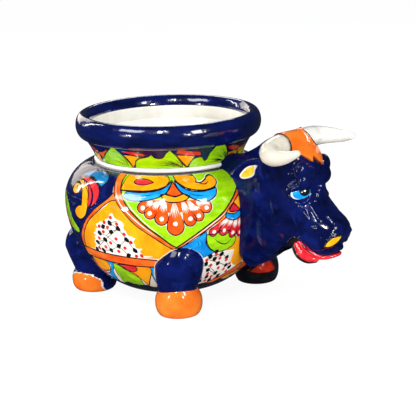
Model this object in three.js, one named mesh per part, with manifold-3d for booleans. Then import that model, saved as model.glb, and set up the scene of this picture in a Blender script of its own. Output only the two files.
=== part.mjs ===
// A glazed earthenware planter in the shape of a standing bull: a wide belly pot with a collar and a
// rolled lip, four stub legs on hooves, and a hollow modelled head.
// Millimetres, +Z up. +X points from the pot towards the head and +Y to the bull's left.
// The potter makes every piece apart and joins them with slip, so each one is a body of its own here,
// seated against its neighbours with a joint of slip between them.

import * as THREE from "three";
import { mergeVertices } from "three/addons/utils/BufferGeometryUtils.js";
import Module from "manifold-3d";

const wasm = await Module();
wasm.setup();

// Driving dimensions

const slipJoint = 0.3; // width of the joint between two seated pieces
const potWall = 9;
const groundClearance = 12; // under the foot of the pot

const footRadius = 66; // the pot's flat underside
const bellyRadius = 175.5; // at its widest
const bellyWidestHeight = 163;
const bellyLowerFullness = 1.6; // 2 is an ellipse, less is straighter
const bellyUpperFullness = 1.8;
const drainHoleRadius = 12.5;

const waistRadius = 119.5; // where the collar stands on the belly
const waistHeight = 223.5;
const beadHeight = 9; // the coil round the foot of the collar
const beadProud = 5; // beyond the waist

const collarHeight = 44.5;
const collarFlare = 22; // how far the collar opens outwards
const collarSweep = 1.37; // 1 is a straight cone, more is hollower
const lipWidth = 24;
const lipHeight = 39;
const lipOverhang = 11; // beyond the top of the collar
const lipSeat = 4; // how deep the lip is pressed over the collar

const headWall = 8;
const neckSink = 45; // how far the neck reaches back before the belly cuts it
const neckJoint = { ahead: 33, height: 185, lean: 16 }; // where the pressed head is set on its neck
const skullSquareness = 0.86; // 1 is an oval section, less is boxier
const neckSquareness = 0.9;

const hornRootRadius = 18.5;
const hornTipRadius = 5;
const hornStoutness = 1.9; // 1 tapers evenly, more keeps the root thick for longer

const earLength = 46; // what stands out of the skull
const earWidth = 27;
const earThickness = 11;
const earSink = 12; // how far the root of the ear runs into the skull
const earDish = 3.3; // how deep the front of the ear is hollowed

const eyeLength = 32;
const eyeHeight = 18;
const eyeDepth = 13;
const eyeSink = 2; // the middle of the eye under the skin of the skull
const eyeSlant = 14; // degrees, the front corner higher

const forelockThickness = 7;
const forelockSleeve = 2.5; // its thickness round the root of a horn
const forelockHalfWidth = 38; // out to the rings round the roots of the horns
const forelockBack = 50; // ahead of the belly, behind the poll
const forelockSideHeight = 262; // where the first strand leaves each side

const upperLipRadius = 6;
const jawHalfHeight = 9;
const jawThinning = 2; // from the throat to the chin
const jawEndRoundness = 6;

const frontHoofHeight = 45;
const rearHoofHeight = 36;
const hoofRadius = 37.5;
const hoofFootRadius = 32; // just above the sole
const hoofTopRadius = 27.5;
const soleRadius = 28;
const soleEdge = 3; // height of the rounded edge of the sole
const frontLegAngle = 48; // degrees from straight ahead
const rearLegAngle = 145;
const legRadius = 35.5;
const legDomeFullness = 0.75; // 1 is a round dome on top, less is fuller
const frontLegInset = 32.5; // from the belly's widest girth in to the middle of the leg
const rearLegInset = 42;
const frontLegTop = 121;
const rearLegTop = 111;
const rearLegLean = 12; // how far the haunch leans out over its hoof

const tailRadius = 7;
const tailProud = 1; // how far the middle of the coil stands off the belly
const tailTop = 196;
const tailBottom = 88;
const tailSway = 16;
const tuftRadius = 13;

// Fineness of the round forms

const potSides = 48;
const bellySteps = 13;
const collarSteps = 5;
const lipSteps = 13;
const beadSteps = 10;
const skullSides = 24;
const skullSteps = 18;
const neckSteps = 7;
const legSides = 18;

// Glaze colours

const navy = 0x0a1a5e;
const orange = 0xf06a28;
const white = 0xf4f2ea;
const red = 0xe02030;
const sky = 0x009be8;

// Solids and meshes

function solidOf(geometry) {
  const bare = geometry.clone();
  bare.deleteAttribute("normal");
  bare.deleteAttribute("uv");
  const merged = mergeVertices(bare, 1e-4);
  return new wasm.Manifold(
    new wasm.Mesh({
      numProp: 3,
      vertProperties: merged.getAttribute("position").array,
      triVerts: new Uint32Array(merged.index.array),
    }),
  );
}

function geometryOf(solid) {
  const made = solid.getMesh();
  const geometry = new THREE.BufferGeometry();
  geometry.setAttribute("position", new THREE.BufferAttribute(made.vertProperties, 3));
  geometry.setIndex(new THREE.BufferAttribute(made.triVerts, 1));
  return geometry;
}

// The same solid on the bull's other side.
function mirrored(solid) {
  const geometry = geometryOf(solid).applyMatrix4(new THREE.Matrix4().makeScale(1, -1, 1));
  const index = geometry.index.array;
  for (let i = 0; i < index.length; i += 3) {
    [index[i + 1], index[i + 2]] = [index[i + 2], index[i + 1]];
  }
  return solidOf(geometry);
}

const bull = new THREE.Group();

// Adds a solid as a named piece, trimmed by the grown neighbours that it is seated against.
function addPiece(name, solid, colour, cutters = []) {
  const seated = cutters.reduce((whole, cutter) => whole.subtract(cutter), solid);
  const glaze = new THREE.MeshStandardMaterial({ color: colour, roughness: 0.12, metalness: 0 });
  const mesh = new THREE.Mesh(geometryOf(seated), glaze);
  mesh.name = name;
  bull.add(mesh);
}

// Adds a piece made on the bull's left side, and its mirror image on the right.
function addPair(name, solid, colour, cutters) {
  addPiece(name + "_left", solid, colour, cutters);
  addPiece(name + "_right", mirrored(solid), colour, cutters);
}

// Closes rings of points, all with as many points, into one body with a point at each end.
function skin(rings, firstTip, lastTip) {
  const sides = rings[0].length;
  const points = [firstTip, ...rings.flat(), lastTip];
  const last = points.length - 1;
  const faces = [];
  for (let k = 0; k < sides; k++) {
    const next = (k + 1) % sides;
    faces.push(0, 1 + next, 1 + k);
    for (let r = 0; r < rings.length - 1; r++) {
      const here = 1 + r * sides;
      const ahead = here + sides;
      faces.push(here + k, here + next, ahead + next, here + k, ahead + next, ahead + k);
    }
    const end = last - sides;
    faces.push(last, end + k, end + next);
  }
  const geometry = new THREE.BufferGeometry().setFromPoints(points);
  geometry.setIndex(faces);
  const solid = solidOf(geometry);
  if (solid.volume() > 0) return solid;
  for (let i = 0; i < faces.length; i += 3) {
    [faces[i + 1], faces[i + 2]] = [faces[i + 2], faces[i + 1]];
  }
  geometry.setIndex(faces);
  return solidOf(geometry);
}

// Spins an outline of [radius, height] points, which starts and ends on the axis or closes on itself.
// LatheGeometry spins about Y, so it is stood up on Z.
function spun(outline, sides = potSides) {
  const profile = outline.map(([radius, height]) => new THREE.Vector2(radius, height));
  const lathe = new THREE.LatheGeometry(profile, sides);
  lathe.rotateX(Math.PI / 2);
  return solidOf(lathe);
}

// Moves an open outline sideways by a distance, to its right-hand side as it runs.
function offsetOutline(outline, distance) {
  return outline.map(([x, y], i) => {
    const before = outline[Math.max(i - 1, 0)];
    const after = outline[Math.min(i + 1, outline.length - 1)];
    const along = new THREE.Vector2(after[0] - before[0], after[1] - before[1]).normalize();
    return [x + along.y * distance, y - along.x * distance];
  });
}

function* steps(count) {
  for (let i = 0; i <= count; i++) yield i / count;
}

const degrees = Math.PI / 180;

// Pot

// The belly's radius between its foot and its waist: two superellipse arcs that meet at the widest place.
function bellyRadiusAt(height) {
  const lower = height < bellyWidestHeight;
  const endRadius = lower ? footRadius : waistRadius;
  const endHeight = lower ? groundClearance : waistHeight;
  const away = Math.min(Math.abs((height - bellyWidestHeight) / (endHeight - bellyWidestHeight)), 1);
  const fullness = lower ? bellyLowerFullness : bellyUpperFullness;
  const share = Math.pow(1 - away * away, 1 / fullness);
  return endRadius + (bellyRadius - endRadius) * share;
}

// Foot to waist, with steps that are closer together near both ends, where the curve is tight.
function bellyCurve(stepCount) {
  return [...steps(stepCount)].map((t) => {
    const eased = (1 - Math.cos(t * Math.PI)) / 2;
    const height = groundClearance + (waistHeight - groundClearance) * eased;
    return [bellyRadiusAt(height), height];
  });
}

const potFloor = groundClearance + potWall;
const mouthRadius = waistRadius - potWall;
const shoulderInside = waistHeight - potWall;
const bellyInside = offsetOutline(bellyCurve(bellySteps - 2), -potWall).filter(
  ([, height]) => height > potFloor && height < shoulderInside,
);
const bellyShell = spun([
  [drainHoleRadius, groundClearance],
  ...bellyCurve(bellySteps),
  [mouthRadius, waistHeight],
  [mouthRadius, shoulderInside],
  ...bellyInside.toReversed(),
  [bellyInside[0][0], potFloor],
  [drainHoleRadius, potFloor],
  [drainHoleRadius, groundClearance],
]);
addPiece("belly_shell", bellyShell, navy);

// The collar's outer side opens in a hollow sweep.
const collarBottom = waistHeight + slipJoint;
const collarTop = collarBottom + collarHeight;
const collarOutside = [...steps(collarSteps)].map((t) => [
  waistRadius + collarFlare * Math.pow(t, collarSweep),
  collarBottom + collarHeight * t,
]);
const collarInside = collarOutside.map(([radius, height]) => [radius - potWall, height]);
const collar = spun([...collarOutside, ...collarInside.toReversed(), collarOutside[0]]);
addPiece("collar", collar, navy);

// A closed round section, [radius, height], for a coil that runs round the pot.
function coilSection(middleRadius, middleHeight, halfWidth, halfHeight, stepCount) {
  return [...steps(stepCount)].map((t) => {
    const turn = (t - 0.5) * 2 * Math.PI;
    return [middleRadius + halfWidth * Math.cos(turn), middleHeight + halfHeight * Math.sin(turn)];
  });
}

// A filled body round an open outline, grown by the slip joint.
// It cuts the face by which another piece is seated there.
function cutterOf(outline) {
  const [firstRadius, firstHeight] = outline[0];
  const [lastRadius, lastHeight] = outline[outline.length - 1];
  return spun([
    [0, firstHeight - slipJoint],
    [firstRadius + slipJoint, firstHeight - slipJoint],
    ...offsetOutline(outline, slipJoint).slice(1, -1),
    [lastRadius + slipJoint, lastHeight + slipJoint],
    [0, lastHeight + slipJoint],
  ]);
}
const bellyCutter = cutterOf(bellyCurve(bellySteps));
const collarCutter = cutterOf(collarOutside);

// The lip is a fat coil pressed over the top of the collar.
const lipMiddle = waistRadius + collarFlare + lipOverhang - lipWidth / 2;
const lipMiddleHeight = collarTop - lipSeat + lipHeight / 2;
function lipSolid(grow) {
  return spun(coilSection(lipMiddle, lipMiddleHeight, lipWidth / 2 + grow, lipHeight / 2 + grow, lipSteps));
}
addPiece("lip_roll", lipSolid(0), navy, [collarCutter]);

// The waist bead is a thin coil laid in the corner between the belly and the collar.
const beadMiddleHeight = waistHeight + beadHeight / 2;
function beadSolid(grow) {
  const halfHeight = beadHeight / 2 + grow;
  return spun(coilSection(waistRadius, beadMiddleHeight, beadProud + grow, halfHeight, beadSteps));
}
addPiece("waist_bead", beadSolid(0), white, [bellyCutter, collarCutter]);

const potCutter = bellyCutter.add(collarCutter).add(lipSolid(slipJoint)).add(beadSolid(slipJoint));

// Head

// Each station of the skull is a section across the head, from the poll down to the muzzle.
// The face and nape points lie on the middle plane, as [ahead of the belly, height].
const skullStations = [
  { face: [90, 280], nape: [50, 275], halfWidth: 26 },
  { face: [102, 266], nape: [32, 261], halfWidth: 41 },
  { face: [110, 248], nape: [22, 240], halfWidth: 45 },
  { face: [116, 222], nape: [21, 208], halfWidth: 45 },
  { face: [121, 199], nape: [27, 173], halfWidth: 47 },
  { face: [131, 180], nape: [40, 142], halfWidth: 46 },
  { face: [150, 167], nape: [60, 120], halfWidth: 40 },
  { face: [164, 156], nape: [84, 112], halfWidth: 33 },
  { face: [165, 142], nape: [106, 110], halfWidth: 29 },
  { face: [155, 128], nape: [122, 112], halfWidth: 24 },
];
const pollTip = [70, 290];
const muzzleTip = [141, 115];

// The neck runs from inside the belly to inside the skull, with upright sections.
const neckStations = [
  { ahead: -neckSink, low: 80, high: 236, halfWidth: 28 },
  { ahead: -12, low: 62, high: 252, halfWidth: 37 },
  { ahead: 6, low: 68, high: 262, halfWidth: 42 },
  { ahead: 28, low: 80, high: 277, halfWidth: 46 },
  { ahead: 50, low: 96, high: 284, halfWidth: 45 },
  { ahead: 68, low: 113, high: 278, halfWidth: 36 },
];

// Low mounds and hollows pressed into the skull: where they are, how far they reach, how high they stand.
const swellings = [
  { along: 0.27, around: 47, reach: 16, height: 12 }, // brow
  { along: 0.42, around: 46, reach: 14, height: -2 }, // eye hollow
  { along: 0.55, around: 52, reach: 13, height: 4 }, // fold under the eye
  { along: 0.86, around: 40, reach: 12, height: 3 }, // nostril
  { along: 0.62, around: 112, reach: 26, height: 4 }, // jaw muscle
];

function smooth(points) {
  return new THREE.CatmullRomCurve3(points.map((p) => new THREE.Vector3(...p)), false, "centripetal");
}
const faceLine = smooth(skullStations.map((s) => [bellyRadius + s.face[0], s.halfWidth, s.face[1]]));
const napeLine = smooth(skullStations.map((s) => [bellyRadius + s.nape[0], s.halfWidth, s.nape[1]]));

// A place on the skull before anything is pressed into it: along runs from the poll to the muzzle,
// around in degrees from the middle of the face to the left cheek and on to the nape.
function plainSkull(along, around, grow) {
  const face = faceLine.getPoint(along);
  const nape = napeLine.getPoint(along);
  const halfWidth = (face.y + nape.y) / 2 + grow;
  face.y = 0;
  nape.y = 0;
  const middle = face.clone().add(nape).multiplyScalar(0.5);
  const forward = face.clone().sub(nape);
  const halfDepth = forward.length() / 2 + grow;
  forward.normalize();
  const c = Math.cos(around * degrees);
  const s = Math.sin(around * degrees);
  const ahead = Math.sign(c) * Math.pow(Math.abs(c), skullSquareness);
  const side = Math.sign(s) * Math.pow(Math.abs(s), skullSquareness);
  return new THREE.Vector3(0, halfWidth * side, 0).add(middle).addScaledVector(forward, halfDepth * ahead);
}

function outwards(along, around) {
  const step = 0.004;
  const before = Math.max(along - step, 0);
  const after = Math.min(along + step, 1);
  const down = plainSkull(after, around, 0).sub(plainSkull(before, around, 0));
  const across = plainSkull(along, around + 1, 0).sub(plainSkull(along, around - 1, 0));
  const normal = across.cross(down).normalize();
  const middle = plainSkull(along, 0, 0).add(plainSkull(along, 180, 0)).multiplyScalar(0.5);
  return normal.dot(plainSkull(along, around, 0).sub(middle)) < 0 ? normal.negate() : normal;
}

function skullPoint(along, around, grow = 0) {
  const place = plainSkull(along, around, grow);
  const normal = outwards(along, around);
  const bare = plainSkull(along, around, 0);
  let rise = 0;
  for (const mound of swellings) {
    for (const side of [1, -1]) {
      const gap = bare.distanceTo(plainSkull(mound.along, mound.around * side, 0));
      rise += mound.height * Math.exp(-((gap / mound.reach) ** 2));
    }
  }
  return place.addScaledVector(normal, rise);
}

function skullSolid(grow) {
  const rings = [...steps(skullSteps)].map((along) =>
    [...steps(skullSides)].slice(0, -1).map((turn) => skullPoint(along, turn * 360, grow)),
  );
  const top = new THREE.Vector3(bellyRadius + pollTip[0], 0, pollTip[1] + grow);
  const tip = new THREE.Vector3(bellyRadius + muzzleTip[0] + grow * 0.5, 0, muzzleTip[1] - grow);
  return skin(rings, top, tip);
}

const neckLow = smooth(neckStations.map((s) => [bellyRadius + s.ahead, s.halfWidth, s.low]));
const neckHigh = smooth(neckStations.map((s) => [bellyRadius + s.ahead, s.halfWidth, s.high]));

function neckSolid(grow) {
  const rings = [...steps(neckSteps)].map((along) => {
    const low = neckLow.getPoint(along);
    const high = neckHigh.getPoint(along);
    const middle = (low.z + high.z) / 2;
    const halfHeight = (high.z - low.z) / 2 + grow;
    return [...steps(skullSides)].slice(0, -1).map((turn) => {
      const c = Math.cos(turn * 2 * Math.PI);
      const s = Math.sin(turn * 2 * Math.PI);
      const side = Math.sign(s) * Math.pow(Math.abs(s), neckSquareness);
      return new THREE.Vector3(low.x, (low.y + grow) * side, middle + halfHeight * c);
    });
  });
  const centre = (ring) => ring.reduce((sum, p) => sum.add(p), new THREE.Vector3()).divideScalar(ring.length);
  return skin(rings, centre(rings[0]), centre(rings[rings.length - 1]));
}

// The upper lip is a roll of clay along each side of the muzzle.
const lipPlaces = [
  [96, -28, 127],
  [112, -28, 119],
  [126, -24, 115],
  [139, -16, 115],
  [148, -7, 118],
].map(([ahead, left, height]) => [bellyRadius + ahead, left, height]);
const lipRadii = lipPlaces.map(() => upperLipRadius);
const upperLip = (grow) => taperedBar(lipPlaces, lipRadii.map((radius) => radius + grow), 10, 12);

const skullAndNeck = (grow) => skullSolid(grow).add(neckSolid(grow));
const headOutside = skullAndNeck(0).add(upperLip(0)).add(mirrored(upperLip(0)));
const headCutter = skullAndNeck(slipJoint).add(upperLip(slipJoint)).add(mirrored(upperLip(slipJoint)));
const headInside = skullAndNeck(-headWall);

// Eyes

// A smooth pebble with three half-axes along given directions.
function pebble(centre, axes, halves, sides = 14) {
  const ball = new THREE.SphereGeometry(1, sides, Math.round(sides * 0.6));
  const frame = new THREE.Matrix4().makeBasis(
    axes[0].clone().multiplyScalar(halves[0]),
    axes[1].clone().multiplyScalar(halves[1]),
    axes[2].clone().multiplyScalar(halves[2]),
  );
  frame.setPosition(centre);
  return solidOf(ball.applyMatrix4(frame));
}

const eyePlace = { along: 0.387, around: 47.5 };

const eyeNormal = outwards(eyePlace.along, eyePlace.around);
const eyeCentre = skullPoint(eyePlace.along, eyePlace.around).addScaledVector(eyeNormal, -eyeSink);
const eyeAcross = new THREE.Vector3(0, 0, 1).cross(eyeNormal).normalize();
const eyeLongAxis = eyeAcross.clone().applyAxisAngle(eyeNormal, -eyeSlant * degrees);
const eyeUp = eyeNormal.clone().cross(eyeLongAxis);
function eyeSolid(grow) {
  return pebble(
    eyeCentre,
    [eyeLongAxis, eyeUp, eyeNormal],
    [eyeLength / 2 + grow, eyeHeight / 2 + grow, eyeDepth / 2 + grow],
  );
}

// Horns

// A round bar whose thickness changes along a curve through the given places.
function taperedBar(places, radii, stepCount, sides) {
  const path = smooth(places);
  const radiusAt = smooth(radii.map((radius, i) => [i, radius, 0]));
  const frames = path.computeFrenetFrames(stepCount, false);
  const rings = [...steps(stepCount)].map((along, i) => {
    const middle = path.getPoint(along);
    const radius = radiusAt.getPoint(along).y;
    return [...steps(sides)].slice(0, -1).map((turn) => {
      const angle = turn * 2 * Math.PI;
      return middle
        .clone()
        .addScaledVector(frames.normals[i], Math.cos(angle) * radius)
        .addScaledVector(frames.binormals[i], Math.sin(angle) * radius);
    });
  });
  const first = path.getPoint(0).addScaledVector(path.getTangent(0), -radii[0] * 0.3);
  const lastRadius = radii[radii.length - 1];
  const last = path.getPoint(1).addScaledVector(path.getTangent(1), lastRadius * 0.8);
  return skin(rings, first, last);
}

// Out of the side of the poll, round and forward: [ahead of the belly, to the left, height].
const hornPath = [
  [82, 10, 277],
  [78, 30, 277],
  [74, 49, 275],
  [75, 67, 271],
  [89, 79, 268],
  [110, 78, 269],
  [132, 70, 277],
];
const hornPlaces = hornPath.map(([ahead, left, height]) => [bellyRadius + ahead, left, height]);
const hornRadii = [...steps(hornPath.length - 1)].map(
  (t) => hornRootRadius + (hornTipRadius - hornRootRadius) * t ** hornStoutness,
);
const hornBar = (grow) => taperedBar(hornPlaces, hornRadii.map((r) => r + grow), 12, 14);

// Ears

// A rounded leaf, dished on its front: it grows out of the side of the skull under the horn.
const earRoot = [37, 34, 241]; // ahead of the belly, left, height
const earSpan = earLength + earSink;
const earDirection = new THREE.Vector3(-0.5, 0.84, -0.2).normalize();
const earFacing = new THREE.Vector3(0.8, 0.45, 0.1);
const earUp = earDirection.clone().cross(earFacing).normalize();
const earFront = earUp.clone().cross(earDirection).normalize();
function earSolid(grow) {
  const root = new THREE.Vector3(bellyRadius + earRoot[0], earRoot[1], earRoot[2]);
  const rings = [...steps(9)].slice(0, -1).map((along) => {
    const leaf = Math.pow(Math.sin(Math.PI * (0.2 + along * 0.8)), 0.5);
    const half = (earWidth / 2) * leaf + grow;
    const thick = (earThickness / 2) * (1 - along / 2) + grow;
    const middle = root.clone().addScaledVector(earDirection, earSpan * along);
    return [...steps(12)].slice(0, -1).map((turn) => {
      const angle = turn * 2 * Math.PI;
      const across = Math.cos(angle) * half;
      const dish = earDish * (1 - (across / half) ** 2) * Math.sin(Math.PI * along);
      const deep = Math.sin(angle) * thick - (Math.sin(angle) > 0 ? dish : 0);
      return middle.clone().addScaledVector(earUp, across).addScaledVector(earFront, deep);
    });
  });
  const tip = root.clone().addScaledVector(earDirection, earSpan + grow);
  return skin(rings, root, tip);
}

const eyeCutter = eyeSolid(slipJoint);
const hornCutter = hornBar(slipJoint).add(mirrored(hornBar(slipJoint)));

// The head is pressed by itself and set on a neck, in a joint that leans back from the throat to the poll.
const headShell = headOutside.subtract(headInside);
function aheadOfJoint(gap) {
  const half = bellyRadius; // well clear of the head on every side
  const block = new THREE.BoxGeometry(2 * half, 2 * half, 3 * half).translate(half - gap, 0, 0);
  block.rotateY(-neckJoint.lean * degrees);
  block.translate(bellyRadius + neckJoint.ahead, 0, neckJoint.height);
  return solidOf(block);
}
addPiece("neck_shell", headShell.subtract(aheadOfJoint(slipJoint)), navy, [potCutter]);
addPiece("head_shell", headShell.intersect(aheadOfJoint(0)), navy, [potCutter, eyeCutter, mirrored(eyeCutter)]);
addPair("eye", eyeSolid(0), sky, []);
addPair("horn", hornBar(0), white, [headCutter]);
addPair("ear", earSolid(0), navy, [headCutter, hornCutter]);

// Forelock

// A cap of clay pressed over the poll between the horns, cut into pointed strands down the forehead.
// Its outline is seen from the front, as [to the left, height].
const strandTips = [
  [-30, 264],
  [-11, 251],
  [12, 243],
  [27, 255],
];
const strandPartings = [
  [-22, 261],
  [-2, 257],
  [19, 262],
];
const strandLine = strandTips.flatMap((tip, i) => (i ? [strandPartings[i - 1], tip] : [tip]));
const aboveThePoll = pollTip[1] + 2 * forelockThickness;
const forelockShape = new THREE.Shape(
  [
    [-forelockHalfWidth, aboveThePoll],
    [-forelockHalfWidth, forelockSideHeight],
    ...strandLine,
    [forelockHalfWidth, forelockSideHeight],
    [forelockHalfWidth, aboveThePoll],
  ].map(([left, height]) => new THREE.Vector2(left, height)),
);
const faceReach = Math.max(...skullStations.map((station) => station.face[0]));
const forelockPrism = new THREE.ExtrudeGeometry(forelockShape, {
  depth: faceReach - forelockBack,
  bevelEnabled: false,
});
forelockPrism.applyMatrix4(
  new THREE.Matrix4().makeBasis(
    new THREE.Vector3(0, 1, 0),
    new THREE.Vector3(0, 0, 1),
    new THREE.Vector3(1, 0, 0),
  ),
);
forelockPrism.translate(bellyRadius + forelockBack, 0, 0);
const hornSleeve = hornBar(slipJoint + forelockSleeve);
const forelockCap = skullSolid(forelockThickness).add(hornSleeve).add(mirrored(hornSleeve));
const forelock = forelockCap.intersect(solidOf(forelockPrism));
addPiece("forelock", forelock, orange, [headCutter, hornCutter]);

// Mouth

// The lower jaw hangs under the muzzle; the mouth line is the joint between them.
const jawPlaces = [
  [86, 0, 118],
  [112, 0, 113],
  [136, 0, 110],
  [148, 0, 109],
];
const jawHalfWidths = [20, 24, 19, 11];
function jawSolid(grow) {
  const path = smooth(jawPlaces.map(([ahead, left, height]) => [bellyRadius + ahead, left, height]));
  const halfWidths = smooth(jawHalfWidths.map((halfWidth, i) => [i, halfWidth, 0]));
  const rings = [...steps(8)].map((along) => {
    const middle = path.getPoint(along);
    const half = halfWidths.getPoint(along).y + grow;
    const tall = jawHalfHeight - jawThinning * along + grow;
    return [...steps(14)].slice(0, -1).map((turn) => {
      const angle = turn * 2 * Math.PI;
      return new THREE.Vector3(middle.x, Math.sin(angle) * half, middle.z + Math.cos(angle) * tall);
    });
  });
  const end = new THREE.Vector3(jawEndRoundness + grow, 0, 0);
  return skin(rings, path.getPoint(0).sub(end), path.getPoint(1).add(end));
}
addPiece("lower_jaw", jawSolid(0), navy, [headCutter]);

// The tongue lolls out over the right-hand lip.
const tonguePlaces = [
  [100, -28, 129],
  [110, -32, 119],
  [120, -29, 110],
  [131, -22, 104],
];
const tongueRadii = [6, 9.5, 10, 6];
const tonguePath = tonguePlaces.map(([ahead, left, height]) => [bellyRadius + ahead, left, height]);
const tongue = taperedBar(tonguePath, tongueRadii, 9, 12);
addPiece("tongue", tongue, red, [headCutter, jawSolid(slipJoint)]);

// Legs and hooves

// A leg's sections from low to high: [height, middle out from the axis, half across, half deep].
function standingSolid(sections, angle, lowTip, highTip) {
  const out = new THREE.Vector3(Math.cos(angle * degrees), Math.sin(angle * degrees), 0);
  const side = new THREE.Vector3(-out.y, out.x, 0);
  const rings = sections.map(([height, reach, across, deep]) =>
    [...steps(legSides)].slice(0, -1).map((turn) => {
      const a = turn * 2 * Math.PI;
      return new THREE.Vector3(0, 0, height)
        .addScaledVector(out, reach + Math.cos(a) * deep)
        .addScaledVector(side, Math.sin(a) * across);
    }),
  );
  const first = new THREE.Vector3(0, 0, lowTip).addScaledVector(out, sections[0][1]);
  const last = new THREE.Vector3(0, 0, highTip).addScaledVector(out, sections[sections.length - 1][1]);
  return skin(rings, first, last);
}

// A flat sole, a bulging wall and a flat top.
function hoofSections(reach, hoofHeight) {
  const radii = [
    [0, soleRadius],
    [soleEdge, hoofFootRadius],
    [hoofHeight * 0.2, hoofRadius * 0.95],
    [hoofHeight * 0.45, hoofRadius],
    [hoofHeight * 0.7, hoofRadius * 0.97],
    [hoofHeight * 0.9, (hoofRadius + hoofTopRadius) / 2],
    [hoofHeight, hoofTopRadius],
  ];
  return radii.map(([height, radius]) => [height, reach, radius, radius]);
}

// An upright column with a full domed top, which leans out from its hoof.
function legSections(bottom, top, reach, lean) {
  const shoulder = top - legRadius;
  const sections = [...steps(2)].map((t) => [
    bottom + (shoulder - bottom) * t,
    reach + lean * t,
    legRadius,
    legRadius,
  ]);
  for (const t of [...steps(6)].slice(1, -1)) {
    const turn = (t * Math.PI) / 2;
    const radius = legRadius * Math.pow(Math.cos(turn), legDomeFullness);
    sections.push([shoulder + legRadius * Math.sin(turn), reach + lean, radius, radius]);
  }
  return sections;
}

function addLegs(name, angle, reach, hoofHeight, top, lean) {
  const sections = legSections(hoofHeight + slipJoint, top, reach, lean);
  const leg = standingSolid(sections, angle, sections[0][0], top);
  const hoof = standingSolid(hoofSections(reach, hoofHeight), angle, 0, hoofHeight);
  addPair(name + "_leg", leg, navy, [potCutter]);
  addPair(name + "_hoof", hoof, orange, [potCutter]);
}
addLegs("front", frontLegAngle, bellyRadius - frontLegInset, frontHoofHeight, frontLegTop, 0);
addLegs("rear", rearLegAngle, bellyRadius - rearLegInset, rearHoofHeight, rearLegTop, rearLegLean);

// Tail

// A coil laid down the back of the belly, with a pointed tuft at its end.
const tailPlaces = [...steps(6)].map((t) => {
  const height = tailTop + (tailBottom - tailTop) * t;
  const bend = tailSway * Math.sin(Math.PI * t);
  return [-bellyRadiusAt(height) - tailProud, bend, height];
});
const tailRadii = [...Array(4).fill(tailRadius), tuftRadius, tuftRadius * 0.8, tailRadius / 2];
addPiece("tail", taperedBar(tailPlaces, tailRadii, 14, 12), navy, [potCutter]);

// The origin is on the ground under the middle of the whole bull.
const box = new THREE.Box3().setFromObject(bull);
bull.position.x = -(box.min.x + box.max.x) / 2;

const planter = new THREE.Group();
planter.add(bull);
export default planter;
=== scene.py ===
# %% [markdown]
# # A glazed bull planter
# A hand-built earthenware pot in the shape of a bull, dipped in cobalt and painted in bright majolica
# colours. The solids of the bull are loaded first, as a fixed frame in metres: +X runs from the pot to the
# head, +Y to the bull's left and +Z up. Every piece below is shaped and placed against that frame.

# %% Load the frame
import math
import bmesh
import bpy
from mathutils import Matrix, Vector, geometry, noise
from mathutils.bvhtree import BVHTree


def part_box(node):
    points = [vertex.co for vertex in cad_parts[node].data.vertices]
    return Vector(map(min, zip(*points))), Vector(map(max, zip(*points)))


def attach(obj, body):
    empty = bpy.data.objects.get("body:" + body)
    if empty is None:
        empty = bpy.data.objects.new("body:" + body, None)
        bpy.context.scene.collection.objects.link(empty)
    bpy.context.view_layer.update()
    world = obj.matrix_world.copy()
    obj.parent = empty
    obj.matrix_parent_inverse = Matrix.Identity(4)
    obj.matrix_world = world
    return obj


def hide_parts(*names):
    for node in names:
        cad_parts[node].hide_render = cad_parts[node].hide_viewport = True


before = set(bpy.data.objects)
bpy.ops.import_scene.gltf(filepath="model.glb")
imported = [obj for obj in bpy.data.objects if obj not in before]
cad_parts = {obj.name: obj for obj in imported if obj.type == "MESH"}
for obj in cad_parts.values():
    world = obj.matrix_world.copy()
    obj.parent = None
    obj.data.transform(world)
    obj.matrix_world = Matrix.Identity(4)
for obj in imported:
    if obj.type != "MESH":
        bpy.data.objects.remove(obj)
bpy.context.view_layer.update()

# %% [markdown]
# ## Camera
# The camera stands where the photographer's did: in front of the bull's right shoulder, a little above the
# rim, with a long lens. It aims at a point inside the pot, and it is turned slightly about its own axis.

# %% Camera
scene = bpy.context.scene
camera_place = Vector((1.3522, -1.7478, 0.7229))
camera_aim = Vector((0.0139, -0.0197, 0.1532))
camera_roll = math.radians(1.6)

lens = bpy.data.cameras.new("camera")
lens.lens = 121.15
lens.sensor_width = 36
camera = bpy.data.objects.new("camera", lens)
aim = (camera_aim - camera_place).to_track_quat("-Z", "Y").to_matrix()
rolled = aim @ Matrix.Rotation(-camera_roll, 3, "Z")
camera.matrix_world = Matrix.Translation(camera_place) @ rolled.to_4x4()
scene.collection.objects.link(camera)
scene.camera = camera
scene.view_settings.view_transform = "Standard"
print("camera is", round((camera_place - camera_aim).length, 2), "m away")

# %% [markdown]
# ## Studio
# A pale floor, a white background and eight soft lamps. The glaze is so glossy that each lamp shows in it
# as a bright shape, so their sizes matter as much as their strength. A wide softbox gives the broad sheen on
# the lip, tall narrow ones the streaks down the pot, and small ones the crisp glints on the head and legs.
# The floor and the room look white to the camera and dim in the glaze, which would turn grey otherwise.

# %% Lamps
def lamp(name, place, aim_at, width, height, watts, tint=(1, 1, 1)):
    light = bpy.data.lights.new(name, "AREA")
    light.color = tint
    light.shape = "RECTANGLE"
    light.size, light.size_y, light.energy = width, height, watts
    holder = bpy.data.objects.new(name, light)
    turn = (Vector(aim_at) - Vector(place)).to_track_quat("-Z", "Y").to_matrix().to_4x4()
    holder.matrix_world = Matrix.Translation(place) @ turn
    scene.collection.objects.link(holder)


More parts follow.
